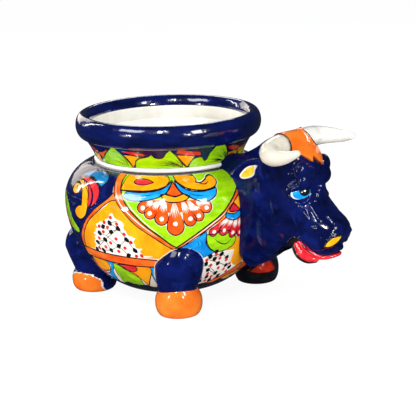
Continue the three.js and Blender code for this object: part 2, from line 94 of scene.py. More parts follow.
middle = Vector((0, 0, 0.15))
lamp("softbox", (-0.6, -2.2, 2.2), middle, 1.4, 1.0, 34)
lamp("side_box", (2.4, -0.6, 1.5), middle, 0.5, 0.9, 20)
lamp("glint_box", (0.9, -1.9, 1.9), middle, 0.2, 0.8, 24)
lamp("low_right", (2.0, -1.1, 0.75), middle, 0.2, 0.2, 7)
lamp("low_left", (-0.5, -2.3, 0.6), middle, 0.2, 0.2, 7)
lamp("left_strip", (-2.3, -0.2, 1.3), middle, 0.10, 1.6, 9)
lamp("back_box", (-1.6, 1.8, 2.0), middle, 1.2, 1.0, 15)
# A warm card on the left pales that edge of the pot and of the lip.
lamp("left_card", (-2.3, 0.9, 0.9), middle, 1.2, 1.2, 9, (1, 0.9, 0.78))
print(len(bpy.data.lights), "lamps")

# %% Floor and background
def new_material(name):
    material = bpy.data.materials.new(name)
    material.use_nodes = True
    material.node_tree.nodes.clear()
    return material, material.node_tree.nodes, material.node_tree.links


def node(nodes, kind, **settings):
    made = nodes.new(kind)
    for key, value in settings.items():
        if hasattr(made, key):
            setattr(made, key, value)
        else:
            made.inputs[key.replace("_", " ")].default_value = value
    return made


floor_whiteness = 0.9  # how much of the floor's brightness is its own, so that shadows stay faint
mirrored_glow = 0.035  # how bright the floor and the room look in the glaze
mirrored_tint = (0.6, 0.75, 1, 1)
floor_reach = 12


def by_ray(nodes, links, ray, usual, special, share=1.0):
    """Shows a special shader, by a share, to the rays of one kind, and the usual one to the rest."""
    kind = node(nodes, "ShaderNodeLightPath")
    amount = node(nodes, "ShaderNodeMath", operation="MULTIPLY")
    amount.inputs[1].default_value = share
    mix = node(nodes, "ShaderNodeMixShader")
    links.new(kind.outputs[ray], amount.inputs[0])
    links.new(amount.outputs[0], mix.inputs[0])
    links.new(usual.outputs[0], mix.inputs[1])
    links.new(special.outputs[0], mix.inputs[2])
    return mix


floor_material, nodes, links = new_material("floor")
shaded = node(nodes, "ShaderNodeBsdfDiffuse", Color=(0.9, 0.9, 0.9, 1))
bright = node(nodes, "ShaderNodeEmission", Color=(1, 1, 1, 1), Strength=1.04)
dim = node(nodes, "ShaderNodeEmission", Color=mirrored_tint, Strength=mirrored_glow)
output = node(nodes, "ShaderNodeOutputMaterial")
seen = by_ray(nodes, links, "Is Camera Ray", shaded, bright, floor_whiteness)
in_glaze = by_ray(nodes, links, "Is Glossy Ray", seen, dim)
links.new(in_glaze.outputs[0], output.inputs[0])

sheet = bmesh.new()
bmesh.ops.create_grid(sheet, x_segments=1, y_segments=1, size=floor_reach)
floor_mesh = bpy.data.meshes.new("floor")
sheet.to_mesh(floor_mesh)
floor_mesh.materials.append(floor_material)
floor = bpy.data.objects.new("floor", floor_mesh)
scene.collection.objects.link(floor)

world = bpy.data.worlds.new("studio")
world.use_nodes = True
scene.world = world
nodes, links = world.node_tree.nodes, world.node_tree.links
nodes.clear()
ambient = node(nodes, "ShaderNodeBackground", Color=(0.95, 0.97, 1.0, 1), Strength=0.55)
backdrop = node(nodes, "ShaderNodeBackground", Color=(1, 1, 1, 1), Strength=1.0)
dim = node(nodes, "ShaderNodeBackground", Color=mirrored_tint, Strength=mirrored_glow)
output = node(nodes, "ShaderNodeOutputWorld")
in_glaze = by_ray(nodes, links, "Is Glossy Ray", ambient, dim)
seen = by_ray(nodes, links, "Is Camera Ray", in_glaze, backdrop)
links.new(seen.outputs[0], output.inputs[0])
print("floor is", 2 * floor_reach, "m wide")

# %% [markdown]
# ## Glazes
# Every surface is fired glass over clay. A glaze gets two shades of its colour, laid in soft brushed
# streaks as a loaded brush leaves them, a clear coat on top, and a very low swell in the coat, because
# poured glass is never quite flat. That swell is what breaks up the reflections.

# %% Glaze
def srgb(code):
    """A web colour as the linear numbers that a shader takes."""
    parts = [int(code[i : i + 2], 16) / 255 for i in (1, 3, 5)]
    return [(p / 12.92 if p <= 0.04045 else ((p + 0.055) / 1.055) ** 2.4) for p in parts] + [1.0]


def glaze(name, deep, light, streak=(60, 60, 60), contrast=0.5, swell=0.25, coat=1.0, thin=None):
    """Two shades of one colour in soft streaks, under a glossy coat. Where it ran thin, a third shows."""
    material, nodes, links = new_material(name)
    place = node(nodes, "ShaderNodeTexCoord")
    stretch = node(nodes, "ShaderNodeMapping", Scale=streak)
    brush = node(nodes, "ShaderNodeTexNoise", Scale=1.0, Detail=4.0, Roughness=0.6)
    ramp = node(nodes, "ShaderNodeValToRGB")
    ramp.color_ramp.elements[0].position = 0.5 - contrast / 4
    ramp.color_ramp.elements[1].position = 0.5 + contrast / 3
    ramp.color_ramp.elements[0].color = srgb(deep)
    ramp.color_ramp.elements[1].color = srgb(light)
    waves = node(nodes, "ShaderNodeTexNoise", Scale=34.0, Detail=2.0)
    bump = node(nodes, "ShaderNodeBump", Strength=swell, Distance=0.004)
    shader = node(nodes, "ShaderNodeBsdfPrincipled", Roughness=0.16, Coat_Weight=coat, Coat_Roughness=0.03)
    shader.inputs["Specular IOR Level"].default_value = 0.5 * coat
    output = node(nodes, "ShaderNodeOutputMaterial")
    links.new(place.outputs["Object"], stretch.inputs[0])
    links.new(stretch.outputs[0], brush.inputs[0])
    links.new(brush.outputs["Fac"], ramp.inputs[0])
    links.new(place.outputs["Object"], waves.inputs[0])
    links.new(waves.outputs["Fac"], bump.inputs["Height"])
    colour = ramp.outputs[0]
    if thin:
        swirl = node(nodes, "ShaderNodeTexNoise", Scale=38.0, Detail=4.0, Distortion=0.7)
        spread = node(nodes, "ShaderNodeMapRange")
        spread.inputs["From Min"].default_value, spread.inputs["From Max"].default_value = 0.55, 0.78
        spread.inputs["To Max"].default_value = 0.6
        mix = node(nodes, "ShaderNodeMix", data_type="RGBA")
        mix.inputs[7].default_value = srgb(thin)
        links.new(place.outputs["Object"], swirl.inputs[0])
        links.new(swirl.outputs["Fac"], spread.inputs[0])
        links.new(spread.outputs[0], mix.inputs[0])
        links.new(colour, mix.inputs[6])
        colour = mix.outputs[2]
    links.new(colour, shader.inputs["Base Color"])
    links.new(bump.outputs[0], shader.inputs["Normal"])
    links.new(bump.outputs[0], shader.inputs["Coat Normal"])
    links.new(shader.outputs[0], output.inputs[0])
    return material


navy_streaks = (26, 26, 40)
navy = glaze("navy glaze", "#020726", "#0b1a66", navy_streaks, 0.9, 0.4, 0.45, "#142a80")
head_coats = {"neck": 0.12, "cheeks": 0.28, "face": 0.55}  # the clear coat is thickest on the face
head_navies = [
    glaze(f"navy glaze on the {part}", "#020522", "#091656", navy_streaks, 0.9, 0.4, coat, "#112478")
    for part, coat in head_coats.items()
]
rim_navy = glaze("navy glaze on the lip", "#020726", "#0b1a66", (20, 20, 60), 0.9, swell=0.4)
white = glaze("white glaze", "#eae6d9", "#fdfbf3", (14, 14, 14))
lime = glaze("lime glaze", "#8ccb00", "#b2e80a", (30, 30, 90))
amber = glaze("amber glaze", "#f69400", "#ffb408", (40, 40, 25))
yellow = glaze("yellow glaze", "#ffb400", "#ffd83a", (60, 60, 60))
orange = glaze("orange glaze", "#ea5206", "#fb842c", (30, 30, 60))
tangerine = glaze("tangerine glaze", "#ee620a", "#fd9030", (24, 24, 30), 0.8)
scarlet = glaze("scarlet glaze", "#f24200", "#ff6c14", (60, 60, 30))
# Painted shade: the tongue's red as it looks deep in its groove.
groove_shade_red = glaze("tongue red in painted shade", "#4a060c", "#7d1016", (40, 40, 40))
# Painted shade: the hooves' orange as it looks in shadow, for the far front hoof.
shaded_hoof_orange = glaze("hoof orange in painted shade", "#a81800", "#d8330c", (40, 40, 40))
crimson = glaze("crimson glaze", "#cf1022", "#ea3a40", (50, 50, 30))
sky = glaze("sky glaze", "#0082d8", "#16adf6", (50, 50, 90))
# Painted shade: a darker copy of the sky glaze, for the haunch leaves as they look in shadow.
shaded_sky = glaze("sky glaze in painted shade", "#056aa6", "#108ac6", (50, 50, 90))
ink = glaze("black line", "#0b0b10", "#1d1c22", (80, 80, 80))
print(len(bpy.data.materials) - 1, "glazes")

# %% [markdown]
# ## The thrown pot
# A potter throws the belly and the collar on a wheel, so both are an outline turned round an axis. The
# belly is two superellipse arcs that meet at its widest girth. The collar opens in a hollow sweep, a fat
# coil makes the lip, and a thin coil covers the joint at the waist. `bmesh.ops.spin` is the wheel.

# %% Outline of the pot
pot_low, pot_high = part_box("belly_shell")
pot_axis = (pot_low.x + pot_high.x) / 2
paint_depth = 0.0004  # the bare glaze lies this far under the top of the painted lines
paint_root = 2e-4  # a painted shape reaches this far into the glaze
line_root = 1e-4  # and a painted line this far
belly_radius = (pot_high.y - pot_low.y) / 2
belly_foot, waist_height = pot_low.z, pot_high.z
foot_radius, waist_radius = 0.066, 0.1195
widest_height = 0.163
pot_wall = 0.009

collar_low, collar_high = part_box("collar")
collar_radius = (collar_high.y - collar_low.y) / 2
collar_sweep = 1.37


def belly_radius_at(height):
    lower = height < widest_height
    end_radius, end_height = (foot_radius, belly_foot) if lower else (waist_radius, waist_height)
    away = min(abs((height - widest_height) / (end_height - widest_height)), 1)
    fullness = 1.6 if lower else 1.8
    return end_radius + (belly_radius - end_radius) * (1 - away**2) ** (1 / fullness)


def collar_radius_at(height):
    share = max(0, min(1, (height - collar_low.z) / (collar_high.z - collar_low.z)))
    return waist_radius + (collar_radius - waist_radius) * share**collar_sweep


def pot_radius(height):
    return belly_radius_at(height) if height < waist_height else collar_radius_at(height)


def on_pot(azimuth, height, lift=0.0):
    """A place on the outside of the pot, azimuth in degrees from straight ahead, lifted off the surface."""
    step = 0.0005
    low, high = (height - step, height + step)
    if low < waist_height < high:
        low, high = (low, height) if height < waist_height else (height, high)
    slope = Vector((high - low, pot_radius(low) - pot_radius(high))).normalized()
    radius = pot_radius(height) - paint_depth + slope.x * lift
    turn = math.radians(azimuth)
    return Vector((pot_axis + radius * math.cos(turn), radius * math.sin(turn), height + slope.y * lift))


print("belly", round(belly_radius, 4), "m radius, collar", round(collar_radius, 4))

# %% Turning and finishing a piece
def finished(mesh, name, *materials, keep_sharp=None):
    """Makes an object of a bmesh: smooth, riding on the bull, with its materials."""
    bmesh.ops.recalc_face_normals(mesh, faces=mesh.faces[:])
    for face in mesh.faces:
        face.smooth = True
    if keep_sharp:
        for edge in mesh.edges:
            if len(edge.link_faces) == 2 and edge.calc_face_angle() > keep_sharp:
                edge.smooth = False
    data = bpy.data.meshes.new(name)
    mesh.to_mesh(data)
    mesh.free()
    for material in materials:
        data.materials.append(material)
    piece = bpy.data.objects.new(name, data)
    scene.collection.objects.link(piece)
    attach(piece, "root")
    print(name, len(data.polygons), "faces")
    return piece


def turned(outline, sides=256):
    """Spins a closed outline of (radius, height) round the pot's axis."""
    mesh = bmesh.new()
    corners = [mesh.verts.new((radius, 0, height)) for radius, height in outline]
    edges = [mesh.edges.new(pair) for pair in zip(corners, corners[1:] + corners[:1])]
    centre, upright = (0, 0, 0), (0, 0, 1)
    bmesh.ops.spin(
        mesh, geom=corners + edges, cent=centre, axis=upright, angle=math.tau, steps=sides, use_merge=True
    )
    bmesh.ops.remove_doubles(mesh, verts=mesh.verts[:], dist=1e-6)
    bmesh.ops.translate(mesh, verts=mesh.verts[:], vec=(pot_axis, 0, 0))
    return mesh


def eased(count):
    return [(1 - math.cos(math.pi * i / count)) / 2 for i in range(count + 1)]


# %% Belly, collar, lip and bead
def inwards(outline, distance):
    """The outline moved towards the axis, square to itself."""
    moved = []
    for i, (radius, height) in enumerate(outline):
        before, after = outline[max(i - 1, 0)], outline[min(i + 1, len(outline) - 1)]
        along = Vector((after[0] - before[0], after[1] - before[1])).normalized()
        moved.append((radius - along.y * distance, height + along.x * distance))
    return moved


drain_radius = 0.0125
sharp_rim = math.radians(50)  # a corner of the clay sharper than this stays an edge
belly_heights = [belly_foot + (waist_height - belly_foot) * t for t in eased(90)]
belly_outside = [(belly_radius_at(h) - paint_depth, h) for h in belly_heights]
floor_height = belly_foot + pot_wall
mouth_radius = waist_radius - pot_wall
belly_inside = [
    (radius, height)
    for radius, height in inwards(belly_outside, pot_wall)
    if floor_height + 0.001 < height < waist_height - pot_wall - 0.001 and radius > mouth_radius * 0.5
]
belly = finished(
    turned(
        [(drain_radius, belly_foot)]
        + belly_outside
        + [(mouth_radius, waist_height), (mouth_radius, waist_height - pot_wall)]
        + belly_inside[::-1]
        + [(belly_inside[0][0], floor_height), (drain_radius, floor_height)]
    ),
    "belly",
    white,
    keep_sharp=sharp_rim,
)
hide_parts("belly_shell")

collar_steps = 24
collar_heights = [
    collar_low.z + (collar_high.z - collar_low.z) * i / collar_steps for i in range(collar_steps + 1)
]
collar_outside = [(collar_radius_at(h) - paint_depth, h) for h in collar_heights]
collar = finished(
    turned(collar_outside + [(radius - pot_wall, height) for radius, height in collar_outside[::-1]]),
    "collar_wall",
    white,
    keep_sharp=sharp_rim,
)
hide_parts("collar")


def coil(name, node_name, inner_radius, slot_name, points, *materials, flush=False):
    """A round coil that fills the outer half of a node's box. A flush one has a straight white inside."""
    low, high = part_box(node_name)
    outer = (high.y - low.y) / 2
    centre, width = (outer + inner_radius) / 2, (outer - inner_radius) / 2
    height, half = (low.z + high.z) / 2, (high.z - low.z) / 2
    section = []
    for a in (math.tau * i / points for i in range(points)):
        across, up = math.cos(a), math.sin(a)
        if flush and across < 0 and up < 0:  # the lower quarter inside runs straight down
            across, up = -1 + 0.3 * (a / math.pi - 1), -min(1, (a / math.pi - 1) * 2.2)
        section.append((centre + width * across, height + half * up))
    ring = turned(section)
    for face in ring.faces:  # the second glaze starts inside the lip, a little above its middle
        place = face.calc_center_median() - Vector((pot_axis, 0, height))
        inside = place.xy.length < centre - width * 0.55 and place.z < half * 0.14
        face.material_index = 1 if flush and inside else 0
    piece = finished(ring, name, *materials)
    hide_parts(node_name)


lip_width = 0.024
lip_low, lip_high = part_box("lip_roll")
coil(
    "lip", "lip_roll", (lip_high.y - lip_low.y) / 2 - lip_width, "navy_glaze", 96, rim_navy, white,
    flush=True,
)
coil("bead", "waist_bead", waist_radius - 0.005, "white_glaze", 32, white)

# %% [markdown]
# ## Painting on a flat sheet
# A painter turns the pot while painting, so it is easiest to draw on a flat sheet that is then wrapped
# round it. Across the sheet is the azimuth in degrees, from 0 straight ahead to minus 90 at the bull's
# right flank. Up the sheet is the height in millimetres. A shape is a few points joined by smooth curves.
# A third number, 0, makes a point a corner. Each colour is a real, very thin layer of glaze, so its edges
# stay crisp from near by. Thin layers lie over each other in the order that they were painted in.

# %% Curves on the sheet
millimetres_per_degree = 3.054  # at the widest girth
one_coat = 1e-5  # the least step from one layer to the next, in metres
petal_step = 4e-6
field, fringe, band, figure, detail, streaks, ink_line, dots = (
    coats * one_coat for coats in (5, 9, 13, 18, 24, 28, 33, 38)
)


def smooth_path(places, steps, corners=(), closed=False):
    """A smooth path through places; steps gives the number of steps from one to the next."""
    count = len(places)
    path = []
    for i in range(count if closed else count - 1):
        j = (i + 1) % count
        here, there = places[i], places[j]
        before = places[i - 1] if closed or i > 0 else here
        after = places[(j + 1) % count] if closed or j < count - 1 else there
        leave = (there - here) / 3 if i in corners else (there - before) / 6
        arrive = (there - here) / 3 if j in corners else (after - here) / 6
        count_here = steps(here, there) + 1
        path += geometry.interpolate_bezier(here, here + leave, there - arrive, there, count_here)[:-1]
    return path if closed else path + [places[-1]]


def curve_through(points, closed=True, spacing=1.4):
    """A smooth path, in millimetres on the sheet, through points of azimuth and height."""

    def steps(here, there):
        return max(2, round((there - here).length / spacing))

    places = [Vector((p[0] * millimetres_per_degree, p[1], 0)) for p in points]
    corners = [i for i, point in enumerate(points) if len(point) > 2]
    return smooth_path(places, steps, corners, closed)


def as_points(places):
    """Places on the sheet, in millimetres, as points of azimuth and height."""
    return [(place.x / millimetres_per_degree, place.y) for place in places]


# Flat shapes are cut to bend at heights that lie this far apart along the slope of the pot.
bend_spacing = 0.0045
bend_heights, last = [], None
for tenth in range(1, 2700):
    height = (belly_foot + tenth * 1e-4) * 1000
    place = Vector((pot_radius(height / 1000), height / 1000))
    if height <= collar_high.z * 1000 and (last is None or (place - last).length > bend_spacing):
        bend_heights.append(height)
        last = place
bend_across = [5.0 * k for k in range(-130, 131)]
print(len(bend_heights), "bending lines up the pot")

# %% Laying a shape and drawing a line
def wrapped(place, lift):
    return on_pot(place.x / millimetres_per_degree, place.y / 1000, lift)


def poured(piece, mesh):
    """Adds a finished bmesh to another and frees it."""
    store = bpy.data.meshes.new("shape")
    piece.to_mesh(store)
    piece.free()
    mesh.from_mesh(store)
    bpy.data.meshes.remove(store)


def everything(mesh):
    return mesh.verts[:] + mesh.edges[:] + mesh.faces[:]


def extruded(mesh):
    """Extrudes all faces of a bmesh and gives the new vertices, which don't move yet."""
    grown = bmesh.ops.extrude_face_region(mesh, geom=mesh.faces[:], use_keep_orig=True)["geom"]
    return [part for part in grown if isinstance(part, bmesh.types.BMVert)]


def lay(mesh, outline, lift):
    """Cuts a flat outline out, bends it round the pot and gives it thickness."""
    piece = bmesh.new()
    piece.faces.new([piece.verts.new(place) for place in outline])
    for axis, lines in ((0, bend_across), (1, bend_heights)):
        low = min(place[axis] for place in outline)
        high = max(place[axis] for place in outline)
        normal = Vector((1, 0, 0)) if axis == 0 else Vector((0, 1, 0))
        for line in lines:
            if low < line < high:
                bmesh.ops.bisect_plane(piece, geom=everything(piece), plane_co=normal * line, plane_no=normal)
    under = piece.verts[:]
    for vert in extruded(piece):
        vert.co = wrapped(vert.co, lift)
    for vert in under:
        vert.co = wrapped(vert.co, -paint_root)
    poured(piece, mesh)


def brush(mesh, path, half_width, lift, closed=True, taper=0.0, uneven=0.35):
    """Draws a line of uneven width along a path; taper is the share of its length that thins out."""
    count = len(path)
    rows = []
    for i, place in enumerate(path):
        before = path[i - 1] if closed or i > 0 else place
        after = path[(i + 1) % count] if closed or i < count - 1 else place
        along = (after - before).normalized()
        aside = Vector((-along.y, along.x, 0))
        share = i / max(count - 1, 1)
        thin = 1.0
        if taper:
            thin = min(1, max(0.12, share / taper), max(0.12, (1 - share) / taper))
        wobble = 1 + uneven * noise.noise(place * 0.13 + Vector((0, 0, half_width * 9)))
        reach = aside * (half_width * wobble * thin)
        rows.append(
            [
                mesh.verts.new(wrapped(place + side * reach, height))
                for side, height in ((1, -line_root), (1, lift), (-1, lift), (-1, -line_root))
            ]
        )
    for i in range(count if closed else count - 1):
        row, following = rows[i], rows[(i + 1) % count]
        for k in range(4):
            mesh.faces.new((row[k], row[(k + 1) % 4], following[(k + 1) % 4], following[k]))
    if not closed:
        mesh.faces.new(rows[0][::-1])
        mesh.faces.new(rows[-1])


paints = {
    "lime": lime, "amber": amber, "orange": orange, "scarlet": scarlet, "crimson": crimson,
    "sky": sky, "shaded_sky": shaded_sky, "navy": navy, "white": white, "ink": ink,
}
layers = {colour: bmesh.new() for colour in paints}


def as_drawn(points):
    """The points in one place alone."""
    return [points]


def both_sides(points):
    """The points as drawn for the right flank, and mirrored for the left."""
    return points, [(-p[0], *p[1:]) for p in points]


def shape(colour, points, lift, line=0.9, edge=0.0, sides=both_sides):
    """A filled shape, with a black line round it and a white edge outside that."""
    for placed in sides(points):
        outline = curve_through(placed)
        lay(layers[colour], outline, lift)
        if edge:
            brush(layers["white"], outline, edge, fringe)
        if line:
            brush(layers["ink"], outline, line, ink_line)


def line(colour, points, half_width, lift=ink_line, taper=0.3, sides=both_sides):
    for placed in sides(points):
        path = curve_through(placed, closed=False)
        brush(layers[colour], path, half_width, lift, closed=False, taper=taper)


def dab(colour, centre, size, lift=dots, sides=both_sides, corners=14, wobble=0.12):
    """A round dot, size across in millimetres, that isn't quite round."""
    for placed in sides([centre]):
        azimuth, height = placed[0][:2]
        outline = []
        for k in range(corners):
            turn = math.tau * k / corners
            bulge = noise.noise(Vector((math.cos(turn), math.sin(turn), azimuth * 0.37 + height * 0.11)))
            reach = size / 2 * (1 + wobble * 2 * bulge)
            across = azimuth * millimetres_per_degree + reach * math.cos(turn)
            outline.append(Vector((across, height + reach * math.sin(turn), 0)))
        lay(layers[colour], outline, lift)


def petal(colour, tip, radius, root, lift, sides=both_sides):
    """A petal from its root to a round tip: a white edge, a black line and five white strokes."""
    top = Vector((tip[0] * millimetres_per_degree, tip[1]))
    base = Vector((root[0] * millimetres_per_degree, root[1]))
    along = (top - base).normalized()
    aside = Vector((-along.y, along.x))
    middle = base.lerp(top, 0.55)
    half = [
        base + aside * 1.5,
        middle + aside * radius * 0.74,
        top + aside * radius,
        top + (along + aside * 0.9) * radius * 0.73,
    ]
    other = [place - aside * 2 * (place - base).dot(aside) for place in half[::-1]]
    ring = as_points(half + [top + along * radius] + other)
    shape(colour, ring, lift, line=0, edge=1.5, sides=sides)
    line("ink", ring[1:-1], 0.85, taper=0.22, sides=sides)
    for k, further in ((-1, -1.0), (-0.5, 1.0), (0, 2.5), (0.5, 1.0), (1, -1.0)):
        start = base + aside * k * 1.6
        finish = middle + aside * k * radius * 0.55 + along * further
        stroke = as_points((start, start.lerp(finish, 0.5), finish))
        line("white", stroke, 1.05, lift=streaks, taper=0.6, sides=sides)


def net(threads, sides=both_sides):
    """Thin black lines across a white window, from dot to dot."""
    for start, finish in threads:
        line("ink", [start, finish], 0.42, lift=streaks, taper=0.02, sides=sides)


def window_dots(blacks, reds, sides=both_sides):
    for centre in blacks:
        dab("ink", centre, 8.4, lift=ink_line, sides=sides, corners=12, wobble=0.22)
    for centre in reds:
        dab("crimson", centre, 6.2, lift=dots, sides=sides)


# %% [markdown]
# ## Panels on the shoulder and the flank
# A lime shield with orange bands lies on each shoulder, with two yellow scrolls and a red fan of petals on
# it. Behind it comes an amber flank with a white window of net and dots. They are laid from the field
# outwards, as a painter fills the ground first and draws the lines last.

# %% Shoulder panels in lime
shoulder_edge = [
    (-81.3, 212), (-79.3, 201), (-75.2, 185), (-70.6, 171), (-64.5, 153.5), (-56.8, 134.7), (-51.5, 121),
]
chest_edge = [(-40.8, 132), (-32.6, 148.5), (-24.4, 164.7), (-17.9, 182), (-11, 200), (-5, 213)]
panel_tip = (-48.6, 116, 0)
shield = [(-82.5, 223.3, 0)] + shoulder_edge + [panel_tip] + chest_edge + [(-1, 223.3, 0)]
shape("lime", shield, field, line=1.1)
band_edge = [(-86, 212), (-83.8, 200), (-80.8, 187), (-76.8, 175), (-69.6, 153.5), (-61.5, 136), (-55.2, 122)]
rear_side = [(-88.5, 223.3, 0)] + band_edge + [(-50.5, 112.5, 0), panel_tip]
rear_side += shoulder_edge[::-1] + [(-82.5, 223.3, 0)]
shape("orange", rear_side, band, line=0.8)
lower_edge = [
    (-3, 207, 0), (-10, 194), (-17.9, 176), (-24.4, 158.5), (-32.6, 142), (-40.8, 127), (-47, 114.5),
]
shape("orange", [panel_tip] + chest_edge + lower_edge + [(-50, 112.5, 0)], band, line=0.8)
wide_streak = [(-84.6, 212), (-82.4, 200), (-78.8, 186), (-73.6, 172), (-66.5, 153.5), (-58.4, 134.5)]
thin_streak = [(-79.6, 212), (-77.7, 201), (-73.6, 185), (-69, 171), (-62.9, 153.5), (-55.5, 135)]
line("white", wide_streak, 0.8, streaks)
line("white", thin_streak, 0.55, streaks)
line("white", [(-45, 120.5), (-38, 134.6), (-30, 150.5), (-21.5, 166.7), (-16, 182.5)], 0.6, streaks)
print("lime so far", len(layers["lime"].faces), "faces")

# %% Scrolls and the fan on the shoulder
scroll_left = [
    (-80.2, 222.9, 0), (-66, 223), (-54, 222), (-51.5, 218), (-53, 211.5), (-57.5, 207), (-65, 204.3),
    (-72, 203.8), (-80.2, 203.8, 0),
]
scroll_right = [
    (-49, 221.5, 0), (-46.5, 214.5), (-41, 206.5), (-33, 202.5), (-26, 204.5), (-22.8, 210), (-22.3, 216),
    (-24, 219.5), (-27, 218.5), (-29, 215.5), (-32.5, 212.5), (-35.5, 213.5, 0), (-34.5, 217),
    (-35.5, 221, 0), (-42, 222.8), (-48, 222.5, 0),
]
stroke_left = [
    (-77, 199), (-75.8, 203, 0), (-65.4, 202.6), (-57.2, 206), (-53.1, 210.5), (-50, 217, 0), (-51.2, 208.5),
    (-53.9, 201), (-59, 194.8), (-65.4, 191), (-73.6, 191), (-76.8, 195),
]
stroke_right = [
    (-48.6, 217, 0), (-46.5, 213.5), (-42.5, 206), (-36.7, 201.7), (-31, 201.3), (-24.6, 204, 0),
    (-24.6, 201), (-26.2, 193.5), (-30, 187.5), (-34, 187), (-38, 191), (-43, 198.5), (-46.4, 206),
]
fan_base = [
    (-63, 190.5), (-56, 193), (-49, 190), (-42, 191), (-35.5, 188.5), (-37, 180), (-49, 173), (-61.5, 181),
]
shape("scarlet", fan_base, figure, line=0)
petals = [
    ((-65.6, 181.5), 8.6, (-60.5, 191)), ((-32.6, 179), 9.6, (-37.5, 189.5)),
    ((-61.7, 173.5), 9.4, (-57.5, 190)), ((-36.8, 166), 8.4, (-42, 190)), ((-55.9, 165), 10.6, (-54, 190)),
    ((-41.3, 160.5), 9.6, (-45, 190)), ((-48.9, 150.5), 13.2, (-49.2, 189)),
]
petal_dots = [
    (-65.6, 181), (-61.8, 173.2), (-55.8, 164.3), (-49, 156), (-41.2, 163), (-36.9, 166.5), (-32.4, 177.5),
]
for order, (tip, radius, root) in enumerate(petals):
    petal("scarlet", tip, radius, root, figure + order * petal_step)
for centre in petal_dots:
    dab("white", centre, 7.0)
shape("amber", scroll_left, detail)
shape("amber", scroll_right, detail, edge=1.6)
shape("sky", stroke_left, detail + one_coat)
shape("sky", stroke_right, detail + one_coat, edge=1.6)
shape(
    "crimson", [(-73.6, 215.5), (-71, 212.3), (-66, 212), (-61, 215, 0), (-65, 218), (-71, 218.6)], streaks,
    line=0.6,
)
arc = [
    (-56.6, 199.5, 0), (-53, 200), (-48.6, 196.5), (-44, 199.5), (-40.5, 196, 0), (-43.5, 190.5),
    (-48.6, 188.5),
]
shape("amber", arc + [(-53.5, 190.5)], detail + 2 * one_coat)
triangle = [(-49.4, 216, 0), (-52.2, 206), (-53.4, 199.5, 0), (-48.5, 197), (-44.3, 199.5, 0), (-46.3, 205)]
shape("scarlet", triangle, streaks)
line("ink", [(-72, 196.5), (-66, 197.5), (-60, 200)], 0.45)
line("ink", [(-41, 200.5), (-37, 196.5), (-32.5, 195.5)], 0.45)
line("ink", [(-35.3, 213.5), (-30.5, 210), (-27.2, 213.5)], 0.6)
print(len(petals), "petals in the fan")

# %% Flank panel
flank = [(-84, 188, 0)] + band_edge[2:] + [(-50.5, 112.5, 0), (-56, 95, 0), (-80, 96.5), (-110, 99, 0)]
flank += [(-108.2, 118), (-104, 136), (-98.5, 153), (-92, 168), (-87, 180)]
shape("amber", flank, field, line=0)
window = [
    (-82.8, 170, 0), (-81.5, 163.5), (-80, 160, 0), (-77.4, 158), (-76, 152, 0), (-76.6, 147),
    (-75.2, 142, 0), (-74.2, 136), (-70.3, 131.5, 0), (-71.6, 126), (-71, 120, 0), (-70.5, 114.5),
    (-67, 113.5, 0), (-68.8, 109), (-68, 105, 0), (-66.5, 101), (-61.8, 100.5, 0), (-66, 98.2), (-80, 98.6),
    (-100.3, 101, 0), (-98.8, 106), (-97.4, 111, 0), (-98, 116), (-96.4, 121, 0), (-96.6, 126),
    (-94.6, 127.5, 0), (-97, 131), (-95, 134.5, 0), (-94.6, 139), (-92.6, 142, 0), (-94, 147),
    (-92.2, 150, 0), (-90.5, 153.5), (-88.2, 153, 0), (-87, 158.5), (-85.2, 160, 0), (-84.6, 166),
]
window_blacks = [
    (-84.5, 152.8), (-79.5, 145.5), (-89.1, 145.5), (-84.2, 138.5), (-92.2, 133), (-89.1, 123), (-75.4, 128),
    (-95.4, 116), (-80.8, 115.3), (-71.5, 109.8), (-92.7, 103), (-86.9, 105.5), (-76, 99.9), (-98, 102),
]
window_reds = [
    (-83.8, 162.3), (-88, 153), (-80.2, 153), (-91.8, 144.8), (-86.1, 145.5), (-89.4, 136.5), (-76.4, 136.8),
    (-93.3, 124), (-81.8, 127.3), (-73, 124), (-85.9, 119), (-95.4, 105.5), (-90, 110), (-77.3, 112.8),
    (-81.8, 105.5), (-71.3, 100), (-68.2, 101),
]
# The net ties the black dots, and two more knots, in pairs.
knots = window_blacks + [(-79.9, 158), (-87.8, 131)]
tied = [
    (0, 1), (1, 6), (2, 3), (0, 14), (3, 1), (3, 15), (15, 8), (7, 5), (5, 1), (11, 8), (8, 6), (4, 15),
    (5, 11), (8, 12), (6, 9), (13, 5), (10, 11), (11, 8),
]
lattice = [(knots[one], knots[other]) for one, other in tied]
shape("white", window, band, line=0)
net(lattice)
window_dots(window_blacks, window_reds)
belt = [
    (-112, 100, 0), (-100, 98.6), (-80, 96.5), (-66, 94.5), (-54, 92, 0), (-54, 80, 0), (-66, 80.3),
    (-80, 81.3), (-95, 83), (-112, 84, 0),
]
shape("orange", belt, detail, line=0.9)
line("white", [(-104, 101.2), (-92, 99.7), (-80, 98.6), (-66, 96.7), (-58, 95.5)], 0.7, detail)
print(len(window_blacks) + len(window_reds), "dots in the window")

# %% [markdown]
# ## Panels on the haunch, the border, the chest and the rear
# The haunch is navy, with leaves and scrolls that are drawn once beside the flank and mirrored beside the
# tail. A border of blobs and leaves runs under the belt. The chest repeats the fan and the window
# in small. The rear isn't in the picture, so the flank's own shapes are moved round to it.

